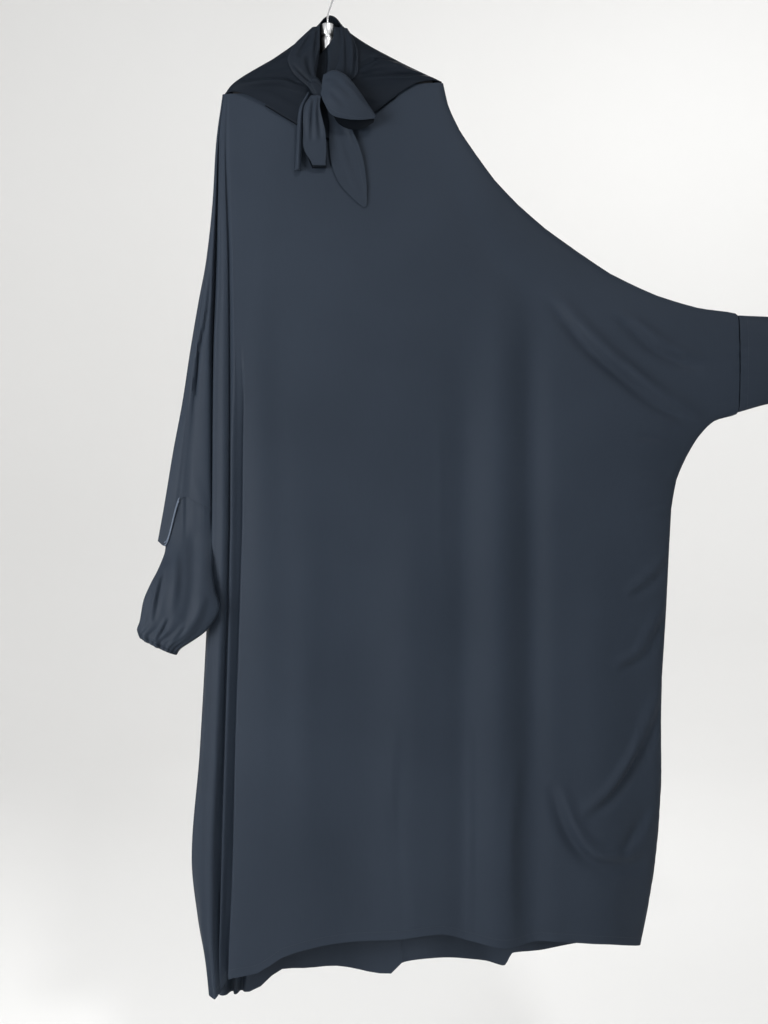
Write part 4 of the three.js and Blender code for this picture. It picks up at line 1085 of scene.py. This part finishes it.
hanger = {
    "arm": [(-162, 214), (-130, 202), (-70, 180), (13, 160), (95, 173), (150, 188), (184, 198)],
    "armThick": 11, "armHigh": 17, "armInside": 0.97,  # a little within its own size, under the cloth
    # radius and drop, from the lower end up
    "neck": [(0.3, 151.2), (6.6, 151.2), (7.6, 150.2), (9.2, 140), (10.1, 131), (10.6, 123), (10.8, 121.6),
             (10.8, 116), (10.2, 115.2), (8.4, 114.2), (8.1, 113), (8.4, 112), (10.8, 110.9), (11.3, 110),
             (11.2, 93.8), (10.8, 92.4), (9.4, 91.5), (0.3, 91.5)],
    "neckX": 2.5, "wire": 3.6, "hookRadius": 22,
}


def sweptGrid(path, across, along, wide, high):
    centre = curveThrough(path, np.linspace(0, 1, along))
    tangent = np.gradient(centre, axis=0)
    tangent /= np.linalg.norm(tangent, axis=1, keepdims=True)
    sideways = np.array([0.0, 1.0, 0.0])
    up = np.cross(tangent, sideways)
    up /= np.linalg.norm(up, axis=1, keepdims=True)
    angle = aroundTurn(across)[:, None]
    return centre[:, None] + sideways * np.cos(angle) * wide / 2 + up[:, None] * np.sin(angle) * high / 2


def roundEnds(grid, length):
    ends = []
    for last, before in ((0, 1), (-1, -2)):
        middle = grid[last].mean(axis=0)
        out = middle - grid[before].mean(axis=0)
        out /= np.linalg.norm(out)
        cap = [middle + (grid[last] - middle) * math.cos(a) + out * length * math.sin(a)
               for a in (0.35, 0.7, 1.05, 1.35)]
        ends.append(cap)
    return np.concatenate([np.array(ends[0][::-1]), grid, np.array(ends[1])])


def buildHanger():
    h = hanger
    arm = place(*np.array(h["arm"], float).T, 0)
    slim = h["armInside"] / 1000
    arm = roundEnds(sweptGrid(arm, 28, 90, h["armThick"] * slim, h["armHigh"] * slim), 0.0001)
    solidPiece("hangerArms", arm, armPlastic, "hanger_arms")
    angle = aroundTurn(56)
    radius, drop = np.array(h["neck"]).T[..., None]
    neck = place(h["neckX"] + radius * np.cos(angle), drop, radius * np.sin(angle))
    solidPiece("hangerNeck", neck, neckChrome, "hanger_neck")
    wire, bend = h["wire"], h["hookRadius"]
    path = [(h["neckX"], 91.2), (h["neckX"], 78), (11.7, 48)]
    for degrees in (20, 55, 90, 130, 170, 205):
        a = math.radians(degrees)
        path.append((bend * math.cos(a), bend - wire / 2 - bend * math.sin(a)))
    hook = sweptGrid(place(*np.array(path).T, 0), 20, 120, wire / 1000, wire / 1000)
    solidPiece("hangerHook", roundEnds(hook, wire / 2000 * 0.6), chrome, "hanger_hook")
    print("stage: hanger made")


# the stage, lights and camera

bowl = {"floor": -2.2, "radius": 6.0, "fillet": 2.2, "top": 5.0, "middle": 0.0004}
softboxes = {
    "keyBox": {"at": (-1.7, -1.55, -0.80), "towards": (0.0, 0, -0.82), "size": (1.2, 1.3), "power": 66},
    "topBox": {"at": (0.9, -2.5, 1.5), "towards": (0.15, 0, -0.9), "size": (0.35, 0.35), "power": 42},
    "footBox": {"at": (0.0, -1.7, -2.05), "towards": (0.1, 0, -1.74), "size": (0.9, 0.15), "power": 1.6},
    "backBox": {"at": (0.9, 3.2, 1.2), "towards": (0.1, 0, -0.9), "size": (1.6, 1.6), "power": 18},
}
globe = {"at": (1.0, 2.5, 2.0), "size": 0.6, "power": 215}  # lights the wall
room = {"colour": (1.0, 1.0, 1.0, 1), "strength": 0.38}
cameraSet = {"lens": 38.17, "sensor": 36, "at": (0.101, -1.9, -0.9441)}


def buildBowl():
    b = bowl
    profile = [(b["middle"], b["floor"]), (1.5, b["floor"]), (3.0, b["floor"])]
    for a in np.linspace(0, math.pi / 2, 14):
        out, up = math.sin(a), 1 - math.cos(a)
        profile.append((b["radius"] - b["fillet"] * (1 - out), b["floor"] + b["fillet"] * up))
    profile += [(b["radius"], 2.5), (b["radius"], b["top"])]
    angle = aroundTurn(96)
    radius, height = np.array(profile).T[..., None]
    grid = np.stack(np.broadcast_arrays(radius * np.cos(angle), radius * np.sin(angle), height), -1)
    mesh = gridMesh("paleBowl", grid, closed=True)
    mesh.materials.append(palePaint)
    addObject("paleBowl", mesh)


def buildLights():
    for name, box in softboxes.items():
        light = bpy.data.lights.new(name, "AREA")
        light.shape, light.energy = "RECTANGLE", box["power"]
        light.size, light.size_y = box["size"]
        obj = addObject(name, light)
        obj.location = box["at"]
        obj.rotation_mode = "QUATERNION"
        obj.rotation_quaternion = (Vector(box["towards"]) - Vector(box["at"])).to_track_quat("-Z", "Y")
        obj.visible_camera = False
    light = bpy.data.lights.new("wallGlobe", "POINT")
    light.energy, light.shadow_soft_size = globe["power"], globe["size"]
    obj = addObject("wallGlobe", light)
    obj.location, obj.visible_camera = globe["at"], False
    world = bpy.data.worlds.new("paleRoom")
    world.use_nodes = True
    sky = world.node_tree.nodes["Background"].inputs
    sky["Color"].default_value, sky["Strength"].default_value = room["colour"], room["strength"]
    bpy.context.scene.world = world


def buildCamera():
    camera = bpy.data.cameras.new("camera")
    camera.lens, camera.sensor_width = cameraSet["lens"], cameraSet["sensor"]
    obj = addObject("camera", camera)
    obj.location, obj.rotation_euler = cameraSet["at"], (math.pi / 2, 0, 0)
    bpy.context.scene.camera = obj
    view = bpy.context.scene.view_settings
    view.view_transform, view.look, view.exposure, view.gamma = "Standard", "None", 0, 1
    print("stage: bowl, lights and camera set")


buildBowl()
buildLights()
buildCamera()
buildHanger()
buildPanels()
buildSleeves()
buildHood()
buildTies()
sewHems()
